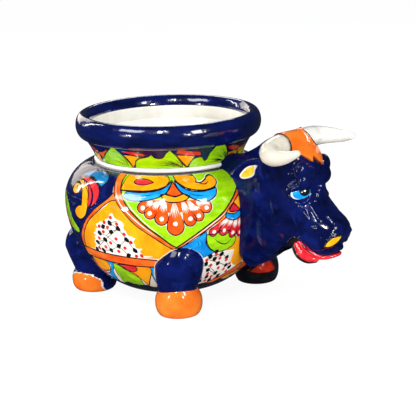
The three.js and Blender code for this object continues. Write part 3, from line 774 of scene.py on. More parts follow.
# %% Haunch panel in navy
haunch_band = [
    (-83.8, 200, 0), (-86.6, 190), (-91, 180), (-96.3, 167), (-101.6, 151.5), (-106.4, 135), (-110.6, 117),
    (-112, 99, 0), (-109.4, 99, 0), (-107.6, 117), (-103.6, 136), (-98.5, 153), (-92.5, 168), (-87.6, 181),
    (-84, 188, 0), (-81.5, 189, 0),
]
haunch_front = haunch_band[1:8]
haunch_middle = -134
haunch_rear = [(2 * haunch_middle - p[0], *p[1:]) for p in haunch_front[:0:-1]]
haunch = [(-88, 223.3, 0), (-86, 210), (-84.5, 199, 0)] + haunch_front
haunch += [(-112, 84, 0), (-134, 84, 0), (-156, 84, 0)] + haunch_rear
haunch += [(-180, 186, 0), (-180, 223.3, 0)]
shape("navy", haunch, field, line=0)
shape("orange", haunch_band, band, line=0.8)


def both_ends(points):
    """The points as drawn beside the flank and mirrored beside the tail, on both sides of the bull."""
    placed = []
    for shown in both_sides(points):
        centre = haunch_middle if shown[0][0] < 0 else -haunch_middle
        placed += [shown, [(2 * centre - p[0], *p[1:]) for p in shown]]
    return placed


leaf = [
    (-119.5, 211, 0), (-115, 218), (-107, 221.5), (-98, 221), (-93.6, 217.5), (-92.1, 212, 0), (-94, 204, 0),
    (-96.5, 206), (-101, 210), (-107, 213), (-114, 211.5),
]
outer_stroke = [
    (-120, 209.7, 0), (-107, 211), (-99.5, 207.5), (-95, 201), (-93.2, 191), (-94.5, 181), (-98.2, 171.5, 0),
    (-96.8, 181), (-97.5, 191), (-101, 199), (-107, 205), (-114, 207),
]
inner_stroke = [
    (-112, 206, 0), (-105, 203.5), (-101, 198), (-98.5, 191), (-98, 182), (-98.8, 172, 0), (-101, 178),
    (-101.2, 187), (-104, 196),
]
scroll = [
    (-119.5, 203.5, 0), (-112, 206.5), (-105, 201), (-101.2, 189), (-100, 176), (-101.3, 161), (-104.2, 152),
    (-107.5, 148.5), (-110.8, 151), (-112.4, 158), (-111, 165), (-108, 170.5), (-105.5, 172, 0), (-106, 182),
    (-108.5, 194), (-112.3, 200.5),
]
curl = [
    (-119, 199.5), (-114, 201), (-111, 197), (-110.6, 190), (-113.5, 185.5), (-117.5, 186.5), (-119.6, 192),
]
# The haunch leaves are laid in the darker sky glaze, which is painted shade.
shape("shaded_sky", leaf, figure, sides=both_ends)
shape("crimson", outer_stroke, figure + one_coat, line=0.6, sides=both_ends)
shape("crimson", inner_stroke, figure + 2 * one_coat, line=0.5, sides=both_ends)
shape("amber", scroll, detail, line=0.8, sides=both_ends)
shape("amber", curl, detail, line=0.8, sides=both_ends)
line("ink", [(-117.5, 195), (-114.5, 196), (-113.5, 191)], 0.5, sides=both_ends)
haunch_leaf = [
    (-134, 180, 0), (-127, 176), (-121.5, 166, 0), (-119.5, 152), (-117, 143), (-112.8, 134), (-111, 127),
    (-112.6, 121.5), (-117.5, 122), (-122.5, 126), (-128, 134), (-134, 138, 0),
]
shape("lime", haunch_leaf, figure, line=0.8, sides=both_ends)
line(
    "scarlet", [(-118, 128), (-123, 133), (-129, 141), (-133, 150)], 3.2, lift=detail, taper=0.5,
    sides=both_ends,
)

# %% Lower border
foot_line = 38
low_blob = [(-108, 84, 0), (-94.5, 82, 0), (-93.6, 74), (-95, 66), (-99, 60.5), (-104, 58), (-108, 62)]
low_wave = [
    (-94.5, 82, 0), (-89.5, 81.5, 0), (-90.5, 72), (-94, 61), (-98, foot_line, 0), (-106, foot_line, 0),
    (-106, 52, 0), (-99, 57), (-95, 66), (-93.8, 74),
]
low_leaf = [
    (-89.3, 81.4, 0), (-84, 76.5), (-78, 68), (-74.6, 58), (-74, foot_line, 0), (-93, foot_line, 0),
    (-90.3, 72),
]
low_drop = [(-86.5, 79.5, 0), (-80, 80.5), (-74.6, 80), (-73.2, 75), (-75, 69.5), (-79, 67.8), (-82.5, 71.5)]
low_fan = [
    (-86, 80.8, 0), (-65, 79.8, 0), (-64.2, 73), (-65.5, 62), (-70, foot_line, 0), (-74, 54), (-78, 64),
    (-82, 72),
]
low_sky = [
    (-65, 79.8, 0), (-52, 79.6, 0), (-53, 60, 0), (-57, foot_line, 0), (-63, foot_line, 0), (-64.5, 62),
    (-64.3, 74),
]
low_field = [(-102, 84, 0), (-180, 84, 0), (-180, foot_line, 0), (-102, foot_line, 0)]
shape("navy", low_field, field, line=0)
shape("amber", low_blob, figure, line=0.8, sides=both_ends)
shape("sky", low_wave, figure + one_coat, line=0.6, edge=1.6, sides=both_ends)
shape("lime", low_leaf, figure + 2 * one_coat, line=0.7)
shape("amber", low_fan, detail, line=0.8)
shape("sky", low_sky, figure, line=0.7, edge=1.6)
shape("crimson", low_drop, streaks, line=0.7, edge=1.2)
for foot in (-90.5, -86.5, -82.5, -79):
    line("ink", [(foot, foot_line + 1), (-87.5 + (foot + 87) * 0.3, 66)], 0.55)
line("white", [(-92.5, 78), (-94.5, 68), (-100, 58)], 1.0, streaks)
print("sky so far", len(layers["sky"].faces), "faces")

# %% Chest panel
chest_gap = [(-50, 112.5, 0)] + lower_edge[::-1]
chest_gap += [(-0.6, 207, 0), (-0.6, 40, 0), (-13, 40, 0), (-14, 100, 0), (-33, 100, 0)]
shape("amber", chest_gap, field, line=0)
chest_blue = [
    (-50, 112.5, 0), (-44.3, 119), (-39, 128), (-32.8, 140, 0), (-32.4, 124), (-30.6, 111), (-27.4, 103, 0),
    (-28, 100), (-33.5, 94, 0), (-40, 94, 0),
]
shape("sky", chest_blue, band, line=0.5, edge=1.2)
chest_lime = [
    (-32.6, 134, 0), (-28, 133.5), (-26.3, 137), (-19.6, 135), (-15.5, 124), (-14.5, 118.5), (-15.5, 109),
    (-19, 103), (-24, 101), (-28.5, 104.5), (-31.6, 113), (-32.8, 124),
]
shape("lime", chest_lime, figure, line=0.8, edge=1.2)
chest_base = [(-21.5, 160, 0), (-31, 141), (-28, 134), (-17, 130), (-11.5, 130), (-10.5, 140), (-12, 158, 0)]
shape("crimson", chest_base, figure + one_coat, line=0)
chest_petals = [
    ((-29.2, 137), 7.2, (-20, 156)), ((-12, 128.8), 7.8, (-13, 152)), ((-17.2, 130), 7.6, (-15.5, 152)),
    ((-22.8, 137.3), 8.8, (-17.5, 154)),
]
for order, (tip, radius, root) in enumerate(chest_petals):
    petal("crimson", tip, radius, root, figure + (order + 5) * petal_step)
for centre in ((-28.6, 137), (-22.7, 137), (-17.1, 130.5), (-12.1, 128.5)):
    dab("white", centre, 6.4)
chest_arc = [
    (-21.5, 165.3, 0), (-17, 161.8), (-13.5, 165, 0), (-12, 160), (-12.6, 156.5), (-16, 151.5),
    (-19.5, 153.5), (-22, 159),
]
chest_drop = [(-18.8, 172), (-16.5, 178.5, 0), (-14, 170), (-12.5, 166, 0), (-16, 164.8), (-19.3, 166.5)]
shape("crimson", chest_drop, detail)
shape("sky", chest_arc, detail + one_coat, edge=1.2)
line("ink", [(-28.3, 126), (-25.4, 118), (-21.7, 113), (-18.9, 116), (-17.2, 123.5)], 1.0, taper=0.4)
for azimuth in (-38.1, -36.1, -34):
    line("ink", [(azimuth, 126), (azimuth + 1.2, 119), (azimuth + 1.0, 113)], 0.5, taper=0.5)
chest_window = [
    (-40, 94, 0), (-33.5, 94), (-28, 100.5), (-24.5, 101.3), (-19.2, 102, 0), (-18.6, 97.5), (-16.2, 98.5, 0),
    (-17.2, 92.5), (-13.7, 91.5, 0), (-14.5, 85), (-15.6, 80.5, 0), (-13, 76), (-11.5, 71.5, 0), (-9.5, 68),
    (-5.5, 62.5, 0), (-12, 53), (-19, 44), (-26, 37, 0), (-40, 37, 0),
]
shape("white", chest_window, band, line=0)
chest_blacks = [
    (-26.2, 102), (-29.5, 94), (-22.1, 95.5), (-26.2, 88), (-17.9, 87), (-31.1, 80.5), (-23.1, 78),
    (-28.7, 68), (-16.4, 71), (-12.1, 65), (-22, 59), (-27.9, 53), (-18.4, 51), (-34, 70), (-33.5, 60),
    (-24, 45), (-31.5, 45),
]
chest_reds = [
    (-25.6, 96), (-31, 88.5), (-22.8, 88), (-27.7, 77), (-17.6, 82), (-13.7, 73), (-21.6, 68.5), (-16.6, 63),
    (-27.9, 60), (-13.4, 57.5), (-24, 52), (-34.5, 78), (-35, 65), (-32, 52), (-27.5, 44.5), (-20, 45.5),
]
chest_lattice = [
    ((-31.1, 90), (-16.4, 71)), ((-22.1, 95.5), (-17.9, 87)), ((-28.7, 68), (-18.4, 51)),
    ((-22, 78), (-12.1, 65)), ((-29.5, 94), (-22.1, 95.5)), ((-31.1, 80.5), (-22, 59)),
    ((-26.2, 88), (-22.1, 95.5)),
]
net(chest_lattice)
window_dots(chest_blacks, chest_reds)
chest_belt = [
    (-28, foot_line - 1, 0), (-19, 45), (-12, 54), (-5.5, 62.5), (-0.6, 66, 0), (-0.6, 51, 0), (-7, 48),
    (-14, 41), (-19, foot_line - 2, 0),
]
shape("orange", chest_belt, detail, line=0.8)
line("white", [(-9, 126), (-4.6, 96), (-2.1, 76), (-0.8, 66)], 1.0, streaks, taper=0.2)
print(len(chest_blacks) + len(chest_reds), "dots on the chest")

# %% Panel under the tail
flank_middle = -84


def to_the_rear(points):
    """Points drawn for the flank, moved round to the tail and narrowed."""
    return [[(180 + (p[0] - flank_middle) * 0.82, *p[1:]) for p in points]]


shape("amber", flank, field + one_coat, line=0, sides=to_the_rear)
shape("white", window, band + one_coat, line=0, sides=to_the_rear)
net(lattice, to_the_rear)
window_dots(window_blacks, window_reds, to_the_rear)
shape("orange", belt, detail, line=0.9, sides=to_the_rear)
for side in (1, -1):
    rear_band = [(180 + side * (p[0] - flank_middle) * 0.86, *p[1:]) for p in haunch_band[1:-2]]
    shape("orange", rear_band, band + 2 * one_coat, line=0.8, sides=as_drawn)
shape("lime", low_leaf, figure, line=0.7, sides=to_the_rear)
shape("amber", low_fan, figure, line=0.7, sides=to_the_rear)
shape("crimson", low_drop, streaks, line=0.7, sides=to_the_rear)

# %% [markdown]
# ## Foot, collar and leg edges
# A wavy black band ends the painting at the foot. On the collar, three lime leaves go round three times on
# navy, and red and amber shapes fill the gaps. A white edge follows each front leg, because the painter
# stopped short of the clay that was pressed on there.

# %% Black foot of the pot
def skirt(colour, low, high, lift, sides=240):
    """A plain ring of glaze between two heights."""
    heights = [h / 1000 for h in bend_heights if low < h < high]
    heights = [low / 1000] + heights + [high / 1000]
    outside = [on_pot(0, h, lift) for h in heights]
    inside = [on_pot(0, h, -paint_root) for h in heights]
    section = [(place.x - pot_axis, place.z) for place in outside + inside[::-1]]
    poured(turned(section, sides), layers[colour])


foot_edge = []
for k in range(91):
    wavy = 2.5 * math.sin(k * 1.7) + 1.5 * math.sin(k * 0.61)
    foot_edge.append((-180 + 4 * k, foot_line + wavy))
foot_band = foot_edge + [(180, 30, 0), (-180, 30, 0)]
skirt("ink", belly_foot * 1000 + 0.6, foot_line - 3, band + 3 * one_coat)
shape("ink", foot_band, detail + 3 * one_coat, line=0, sides=as_drawn)
print("ink so far", len(layers["ink"].faces), "faces")

# %% Leaves on the collar
leaf_one = [
    (-112.2, 232.5, 0), (-104, 247), (-95.4, 260), (-90.1, 267, 0), (-87, 258), (-83, 246), (-79, 231, 0),
]
leaf_two = [
    (-77, 231, 0), (-75.7, 242.5), (-72.5, 248), (-69.2, 250.5), (-65.9, 252.5), (-63.2, 256.5, 0),
    (-61, 251), (-57.7, 249.5), (-55, 252), (-53, 259), (-50.6, 264.5, 0), (-48.3, 259), (-46, 253),
    (-42.1, 240), (-37.6, 231, 0),
]
leaf_three = [
    (-37.2, 231, 0), (-35.6, 240), (-33, 246.5), (-30, 248.5), (-27.4, 247.5), (-25.2, 241), (-23.2, 243),
    (-21.4, 255), (-18.2, 265.5), (-16.2, 268, 0), (-14, 264.5), (-11.5, 264), (-8.8, 259), (-5.2, 247.5),
    (-0.3, 231.5, 0),
]


def three_times(points):
    """The three leaves and what lies between them go round the collar three times."""
    return [[(p[0] + turn, *p[1:]) for p in points] for turn in (-120, 0, 120)]


lip_line = collar_high.z * 1000 - 0.8
navy_edge = [
    (-121, 252), (-116, 255), (-112, 251), (-106, 254), (-100, 259), (-95, 263), (-85, 262), (-80, 262),
    (-72, 261.5), (-66, 258), (-60, 254), (-56, 257), (-52, 264), (-46, 265.5), (-40, 263), (-33, 259),
    (-29, 254), (-26.5, 244), (-24.6, 240), (-22.8, 246), (-21, 256), (-18, 265), (-12, 263), (-8, 258),
    (-4, 252), (0, 249),
]
skirt("navy", collar_low.z * 1000 + 7.4, lip_line, field)
navy_field = [(-120.6, lip_line, 0)] + navy_edge[1:-1] + [(0, 251, 0), (0, lip_line, 0)]
shape("navy", navy_field, figure, line=0, sides=three_times)
for drawn in (leaf_one, leaf_two, leaf_three):
    shape("lime", drawn, detail, line=0.8, sides=three_times)
    foot = Vector((drawn[-1][0] - 3.5, 232.5))
    for point in drawn[1:-2]:  # black strokes fan out from the foot of the leaf
        reach = Vector((point[0], point[1]))
        if reach.y >= 236:
            stop = foot.lerp(reach, 0.66)
            bend = foot.lerp(reach, 0.35) + Vector((0.6, 0.9))
            line("ink", [tuple(foot), tuple(bend), tuple(stop)], 0.75, taper=0.7, sides=three_times)
# Between the leaves, a red shape and an amber one fill each gap.
gap_one = [(-84.4, 258.5, 0), (-83.9, 261), (-74, 260.5), (-65.9, 256, 0), (-69.5, 253.5), (-77, 254.5)]
under_one = [
    (-84.5, 254, 0), (-77, 253.5), (-70.8, 251.5, 0), (-75.3, 245), (-76.8, 238), (-79, 232, 0), (-81, 243),
]
gap_two = [
    (-46.4, 258, 0), (-44.6, 264.5), (-38, 261.5), (-30, 257.5), (-28.8, 251.5, 0), (-35, 252), (-41.5, 255),
]
under_two = [(-46.2, 254.8, 0), (-39, 253.5), (-33.1, 250.5, 0), (-35.6, 242), (-38, 232.5, 0), (-42, 243)]
beside_one = [
    (-111.6, 246, 0), (-111.4, 250), (-105, 253), (-96.5, 260.5, 0), (-101, 251.5), (-108.5, 239.5, 0),
]
gap_three = [(-8, 260.5, 0), (0, 259), (7, 254), (9, 249, 0), (4, 249.5), (-4, 252)]
under_three = [(-5, 248, 0), (2, 248.5), (8.6, 246, 0), (7, 238), (7.6, 232, 0), (0, 232, 0)]
gap_shapes = [
    ("crimson", gap_one), ("amber", under_one), ("crimson", gap_two), ("amber", under_two),
    ("orange", beside_one), ("crimson", gap_three), ("amber", under_three),
]
for colour, drawn in gap_shapes:
    shape(colour, drawn, figure + 2 * one_coat, line=0.7, sides=three_times)
skirt("ink", collar_low.z * 1000 + 6.4, collar_low.z * 1000 + 8.0, ink_line)
print(len(gap_shapes), "shapes between the leaves, three times")

# %% White edges round the front legs
# The front legs were pressed on a little askew. For the two edges of a leg as the camera sees it, the tables
# hold pairs in millimetres: a height, and how far the leg leans towards the head there.
lean_behind = [(46, 0), (66, -1.5), (84, -1.3), (89.5, 0), (97, 3.5), (105, 6.7), (113, 6.5), (121, 8)]
lean_ahead = [
    (43, -3.4), (49, -3), (58, 1.3), (64.5, 3.6), (74, 5.4), (84, 6.3), (105, 6.4), (113, 5.5), (121, 8),
]
leg_radius, leg_reach, leg_top, leg_angle = 35.5, 143, 121, 48


def read_table(table, value):
    for (low, first), (high, second) in zip(table, table[1:]):
        if value <= high:
            return first + (second - first) * max(0, value - low) / (high - low)
    return table[-1][1]


def leaning(height, across):
    """How far a front leg leans at a height, from its rear edge (across -1) to its front edge (1)."""
    rear, front = read_table(lean_behind, height), read_table(lean_ahead, height)
    return rear + (front - rear) * (max(-1, min(1, across)) + 1) / 2


edges = {-1: [], 1: []}
for k in range(41):
    height = 40 + k * 2.1
    gap_radius = leg_radius + 1.2
    over = max(0, height - (leg_top - leg_radius)) / gap_radius
    half = gap_radius * math.sqrt(max(0, 1 - over**2)) ** 0.75
    out = pot_radius(height / 1000) * 1000
    cosine = (out**2 + leg_reach**2 - half**2) / (2 * out * leg_reach)
    if abs(cosine) < 1:
        for edge in (-1, 1):
            lean = math.degrees(leaning(height, edge) / out)
            edges[edge].append((-leg_angle + edge * math.degrees(math.acos(cosine)) + lean, height))
shape("white", edges[-1] + edges[1][::-1], dots + 3 * one_coat, line=0)
print("white edge through", len(edges[1]), "heights")

# %% Finish each colour as one piece
sharp_paint = math.radians(40)
for colour, material in paints.items():
    piece = finished(layers[colour], "paint_" + colour, material, keep_sharp=sharp_paint)

# %% [markdown]
# ## Modelling clay
# The head, the legs and the tail are modelled by hand, so they have soft joints and thumb marks. They are
# built the way a modeller works: rough lumps and rolls first, as closed skins over rings of points, then
# all of them fused (a voxel remesh) and the joints wetted and smoothed.

# %% Skins, bars and fusing
def curve_in_space(places, steps_each=8):
    """A smooth path through places, with the same number of steps from each to the next."""
    return smooth_path([Vector(place) for place in places], lambda here, there: steps_each)


def smooth_values(values, steps_each):
    """Numbers that run as smoothly as a path does."""
    return [place.x for place in curve_in_space([(value, 0, 0) for value in values], steps_each)]


def skinned(mesh, rings, first, last):
    """A closed skin over rings of as many points each, with a point at both ends."""
    rows = [[mesh.verts.new(place) for place in ring] for ring in rings]
    count = len(rows[0])
    for row, following in zip(rows, rows[1:]):
        for k in range(count):
            mesh.faces.new((row[k], row[(k + 1) % count], following[(k + 1) % count], following[k]))
    for row, tip in ((rows[0][::-1], first), (rows[-1], last)):
        point = mesh.verts.new(tip)
        for k in range(count):
            mesh.faces.new((row[k], row[(k + 1) % count], point))


def bar(mesh, places, radii, sides=20, steps_each=8, round_ends=True):
    """A round roll of clay through places, each with its own radius."""
    path = curve_in_space(places, steps_each)
    sizes = smooth_values(radii, steps_each)
    aside = (path[1] - path[0]).orthogonal().normalized()
    sections = []
    for i, place in enumerate(path):
        along = (path[min(i + 1, len(path) - 1)] - path[max(i - 1, 0)]).normalized()
        aside = (aside - along * aside.dot(along)).normalized()
        sections.append((place, along, aside, sizes[i]))
    if round_ends:
        starts, stops = [], []
        for turn in (0.35, 0.7, 0.92):
            back, narrow = math.sin(turn * math.pi / 2), math.cos(turn * math.pi / 2)
            place, along, side, size = sections[0]
            starts.insert(0, (place - along * size * back, along, side, size * narrow))
            place, along, side, size = sections[-1]
            stops.append((place + along * size * back, along, side, size * narrow))
        sections = starts + sections + stops
    rings = []
    for place, along, side, size in sections:
        up = along.cross(side)
        angles = [math.tau * k / sides for k in range(sides)]
        rings.append([place + side * size * math.cos(a) + up * size * math.sin(a) for a in angles])
    first = sections[0][0] - sections[0][1] * sections[0][3] * 0.3
    last = sections[-1][0] + sections[-1][1] * sections[-1][3] * 0.3
    skinned(mesh, rings, first, last)


def lump(mesh, centre, halves):
    """A smooth pebble with its three half-lengths."""
    made = bmesh.ops.create_uvsphere(mesh, u_segments=28, v_segments=18, radius=1)["verts"]
    axes = (Vector((1, 0, 0)), Vector((0, 1, 0)), Vector((0, 0, 1)))
    for vert in made:
        place = Vector(centre)
        for axis, half, amount in zip(axes, halves, vert.co.copy()):
            place += axis * half * amount
        vert.co = place


def held(mesh, name):
    """A plain object of a bmesh, for a modifier to work on."""
    data = bpy.data.meshes.new(name)
    mesh.to_mesh(data)
    mesh.free()
    holder = bpy.data.objects.new(name, data)
    scene.collection.objects.link(holder)
    return holder


def taken(holder, *others):
    """The shape of an object after its modifiers, as a bmesh. The object goes, and so do the others."""
    whole = bpy.data.meshes.new_from_object(holder.evaluated_get(bpy.context.evaluated_depsgraph_get()))
    result = bmesh.new()
    result.from_mesh(whole)
    bpy.data.meshes.remove(whole)
    for unneeded in (holder, *others):
        rough = unneeded.data
        bpy.data.objects.remove(unneeded)
        bpy.data.meshes.remove(rough)
    return result


def relaxed(mesh, passes):
    """Wets and smooths the clay."""
    every_way = {"use_axis_x": True, "use_axis_y": True, "use_axis_z": True}
    for unused in range(passes):
        bmesh.ops.smooth_vert(mesh, verts=mesh.verts[:], factor=0.5, **every_way)
    return mesh


def fused(mesh, grain, passes):
    """All the lumps of a bmesh as one skin, with its joints smoothed."""
    bmesh.ops.recalc_face_normals(mesh, faces=mesh.faces[:])
    holder = held(mesh, "clay")
    remesh = holder.modifiers.new("fuse", "REMESH")
    remesh.mode = "VOXEL"
    remesh.voxel_size = grain
    return relaxed(taken(holder), passes)


# %% [markdown]
# ## Head
# The skull is a skin over oval sections from the poll down to the muzzle, and the neck one over upright
# sections. Brows, lids, folds and nostrils are small rolls laid on it. The camera stands where the
# photographer's did, so a roll can be placed where it is seen: a place in the picture is cast from the
# camera onto the clay. Each roll is laid on both sides of the head.

# %% Pressing a piece onto the pot
def pressed_on_pot(mesh):
    """Ends a piece a few millimetres inside the pot's wall, so that nothing of it shows in the cavity."""
    for vert in mesh.verts:
        from_axis = Vector((vert.co.x - pot_axis, vert.co.y))
        inside = pot_radius(max(vert.co.z, belly_foot)) - 0.003
        if from_axis.length < inside:
            onto = from_axis.normalized() * inside
            vert.co = Vector((pot_axis + onto.x, onto.y, vert.co.z))


# %% Skull and neck
head_front = pot_axis + belly_radius  # the measures below run forward from the belly's girth
skull_stations = [  # face forward and height, nape forward and height, half width, all in millimetres
    ((78, 288), (62, 287), 12),
    ((90, 280), (50, 275), 26),
    ((102, 266), (32, 261), 41),
    ((110, 248), (22, 240), 45),
    ((116, 222), (21, 208), 45),
    ((121, 199), (27, 173), 47),
    ((131, 180), (40, 142), 46),
    ((150, 168), (60, 120), 40),
    ((164, 158), (84, 112), 35),
    ((165.5, 143), (106, 110), 32.5),
    ((159, 128.5), (122, 112), 29),
    ((150, 120), (132, 114), 17),
]
neck_stations = [  # forward, lowest, highest, half width
    (-58, 84, 243, 34),
    (-28, 74, 246, 34),
    (-12, 62, 252, 37),
    (6, 68, 262, 42),
    (28, 80, 277, 46),
    (50, 96, 284, 45),
    (68, 113, 278, 36),
]


def squared(value, power):
    return math.copysign(abs(value) ** power, value)


head_sides = 64
turns = [math.tau * k / head_sides for k in range(head_sides)]


def oval(middle, reach, half, power):
    """A ring of places, boxier the lower its power."""
    ring = []
    for t in turns:
        across = Vector((0, half * squared(math.sin(t), power), 0))
        ring.append(middle + reach * squared(math.cos(t), power) + across)
    return ring


def ahead(forward, left, height):
    """A place measured in millimetres forward from the belly's girth."""
    return Vector((head_front + forward / 1000, left / 1000, height / 1000))


faces = curve_in_space([ahead(face[0], 0, face[1]) for face, nape, half in skull_stations], 5)
napes = curve_in_space([ahead(nape[0], 0, nape[1]) for face, nape, half in skull_stations], 5)
halves = smooth_values([half / 1000 for face, nape, half in skull_stations], 5)
forehead_power = 0.86
rings = []
for i, (face, nape, half) in enumerate(zip(faces, napes, halves)):
    power = forehead_power - 0.09 * max(0, i / len(faces) - 0.5) * 2  # the muzzle is boxier
    rings.append(oval((face + nape) / 2, (face - nape) / 2, half, power))
clay = bmesh.new()
skinned(clay, rings, ahead(70, 0, 290), ahead(141, 0, 115))
sections = curve_in_space([ahead(forward, half, low) for forward, low, high, half in neck_stations], 6)
tops = curve_in_space([ahead(forward, half, high) for forward, low, high, half in neck_stations], 6)
rings = []
for low, high in zip(sections, tops):
    middle, tall = (low.z + high.z) / 2, (high.z - low.z) / 2
    rings.append(
        [Vector((low.x, low.y * squared(math.sin(t), 0.9), middle + tall * math.cos(t))) for t in turns]
    )
skinned(clay, rings, ahead(-60, 0, 160), ahead(72, 0, 195))
print("rough head", len(clay.faces), "faces")

# %% Casting a place in the picture onto the clay
bmesh.ops.recalc_face_normals(clay, faces=clay.faces[:])
rough_head = BVHTree.FromBMesh(clay)
picture_width = 416
beside_distance = 2.4  # metres from the camera, where the search beside the clay starts


def flipped(place, left=True):
    """A place on the bull's right, or its mirror image on the left."""
    return Vector((place.x, -place.y, place.z)) if left else place


def skin_of(piece):
    """The surface of a finished piece, for places to be cast onto."""
    return BVHTree.FromObject(piece, bpy.context.evaluated_depsgraph_get())


def in_picture(x, y, sink=0.0, left=False, skin=rough_head):
    """The place on the clay seen at (x, y) in the picture, pushed in by sink. Beside the clay it is the
    place in the air that is seen there nearest to it."""
    scale = lens.sensor_width / lens.lens / picture_width
    across = (x - picture_width / 2) * scale
    up = (picture_width / 2 - y) * scale
    ray = (camera.matrix_world.to_3x3() @ Vector((across, up, -1))).normalized()
    place, normal = skin.ray_cast(camera_place, ray)[:2]
    if place is None:
        distance = beside_distance
        for unused in range(30):
            closest = skin.find_nearest(camera_place + ray * distance)[0]
            distance = (closest - camera_place).dot(ray)
        place, sink, normal = camera_place + ray * distance, 0, ray
    return flipped(place - normal * sink, left)


def roll(points, radii, sink):
    """A roll of clay on both sides of the head, through points of the picture; radii in millimetres."""
    for left in (False, True):
        radii_m = [radius / 1000 for radius in radii]
        places = [in_picture(x, y, sink * radius, left) for (x, y), radius in zip(points, radii_m)]
        bar(clay, places, radii_m, sides=14, steps_each=6)


# %% Brows, lids and folds
upper_lid = [(288.5, 191.5), (293.5, 189.6), (298.6, 187.4), (304.5, 185.2), (311.5, 187)]
lid_fold = [(288.5, 187.5), (294, 182.8), (301, 180), (308, 179), (314, 182)]
brow = [(290, 178.5), (296, 175.4), (302, 173.4), (309, 173.6), (315.5, 177.5)]
upper_brow = [(298, 170.5), (304, 168), (310, 168), (315, 171)]
lower_lid = [(289, 195), (292.5, 200), (299, 203.4), (306.5, 201.4), (312, 193)]
eye_bag = [(290, 200.5), (296, 205.5), (302.4, 212), (308, 219)]
nose_root = [(317.4, 181), (319.4, 188), (319, 195), (316, 201.5)]
cheek_fold = [(311, 204.5), (313, 209.5), (316.4, 215), (320, 221)]
nose_fold = [(321.5, 202.5), (324.6, 208.8), (328.4, 216), (334, 223)]
far_brow = (318.5, 189)
folds = [  # each with its radii and the share of them that is sunk into the clay
    (upper_lid, [2.4, 4.8, 5.4, 4.6, 2.6], 0.0),
    (lid_fold, [1.6, 3.2, 4.0, 3.8, 2.4], 0.2),
    (brow, [1.6, 3.2, 4.2, 4.0, 2.6], 0.25),
    (upper_brow, [1.8, 3.4, 3.8, 2.4], 0.3),
    (lower_lid, [1.4, 2.4, 2.8, 2.6, 1.6], 0.2),
    (eye_bag, [1.8, 3.4, 4.0, 2.4], 0.25),
    (nose_root, [2.2, 4.0, 4.0, 2.2], 0.15),
    (cheek_fold, [1.8, 3.6, 3.8, 2.4], 0.3),
    (nose_fold, [2.0, 4.0, 4.2, 2.4], 0.3),
]
for points, radii, sink in folds:
    roll(points, radii, sink)
lump(clay, in_picture(*far_brow, 0.0005, True), (0.0065, 0.0065, 0.0095))  # the far brow hangs lower
print(len(folds), "folds on each side")

# %% Pebbles on the folds
# Small pebbles of clay make the folds lumpy, and their tops break the light into small glints.
pebbles = [
    (301.1, 184.2, 3.8), (302.2, 180.4, 3.2), (300.5, 174.6, 3.8), (304.4, 171.2, 3.6), (290.4, 175, 3.2),
    (309.8, 179.6, 3.6), (314, 175, 3.4), (297, 203.9, 4.2), (303.2, 212.2, 4.8), (313, 209.6, 3.8),
    (324.8, 208.8, 4.4), (328.6, 216.6, 4.4), (318, 187.8, 3.4), (317.6, 194.2, 3.6), (314.6, 229, 4.0),
    (331.8, 235.6, 3.2), (321.8, 239.4, 3.2), (299.6, 237.8, 3.6), (292, 196.5, 2.6),
]
for x, y, size in pebbles:
    for left in (False, True):
        lump(clay, in_picture(x, y, size * 0.0003, left), [size / 1000] * 3)
print(len(pebbles), "pebbles on each side")

# %% Nostrils and upper lip
nostril = [(323.8, 247), (327.2, 241.6), (333.6, 236.8), (341, 235), (340.4, 240), (335, 245), (328.6, 248.4)]
roll(nostril + nostril[:1], [1.6, 2.2, 2.6, 2.2, 1.8, 1.8, 1.6, 1.6], 0.1)
lip_path = [
    (88, 29, 131), (96, 29, 127), (112, 28, 119), (126, 24, 115), (139, 16, 115), (150, 7, 118),
    (153, 0, 120),
]
for side in (-1, 1):
    places = [ahead(forward, side * out, height) for forward, out, height in lip_path]
    bar(clay, places, [0.003, 0.0052] + [0.006] * 5, sides=16)
    lump(clay, ahead(105, side * 29, 239), (0.012, 0.0145, 0.016))
    lump(clay, ahead(110, side * 27, 223), (0.009, 0.0140, 0.014))
print("muzzle modelled,", len(clay.faces), "faces so far")

# %% Cheeks
# Long lumps fill the corner between the jaw and the neck, so that one runs into the other.
cheek_lumps = [  # forward, out and up in millimetres, and the three half lengths in metres
    (47, 30, 158, (0.034, 0.0165, 0.056)),
    (46, 30, 206, (0.034, 0.0168, 0.058)),
    (66, 26, 134, (0.034, 0.015, 0.020)),
    (84, 33, 154, (0.028, 0.0120, 0.030)),
]
for side in (-1, 1):
    for forward, out, height, size in cheek_lumps:
        lump(clay, ahead(forward, side * out, height), size)
modelled = fused(clay, 0.0012, 4)
pressed_on_pot(modelled)
cheeks_from, face_from = 0.030, 0.058  # the glaze is glossier towards the muzzle
for face in modelled.faces:
    forward = face.calc_center_median().x - head_front
    face.material_index = 0 if forward < cheeks_from else 1 if forward < face_from else 2
head = finished(modelled, "head", *head_navies)
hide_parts("head_shell", "neck_shell")

# %% [markdown]
# ## Eyes
# Each eye is a pebble set between the lids. Its colours are painted on the faces: white in the corners, a
# sky-blue iris that hangs from the upper lid, and a black pupil towards the front corner, with a painted
# highlight, a small white glint, in it.

# %% Eyes
eye_back, eye_front, eye_middle, eye_facing = (292, 193.5), (311, 188.5), (301, 192.9), (301, 192.8)
eye_long, eye_tall, eye_deep = 0.0158, 0.0104, 0.0062
# The painted ovals, on a pebble of radius 1: centre across and up, half width and half height.
iris, pupil, painted_glint = (0.07, 0.06, 0.93, 0.97), (0.37, 0.2, 0.55, 0.8), (0.36, 0.14, 0.09, 0.12)


def within(patch, across, up):
    centre_across, centre_up, half_width, half_height = patch
    return ((across - centre_across) / half_width) ** 2 + ((up - centre_up) / half_height) ** 2 < 1


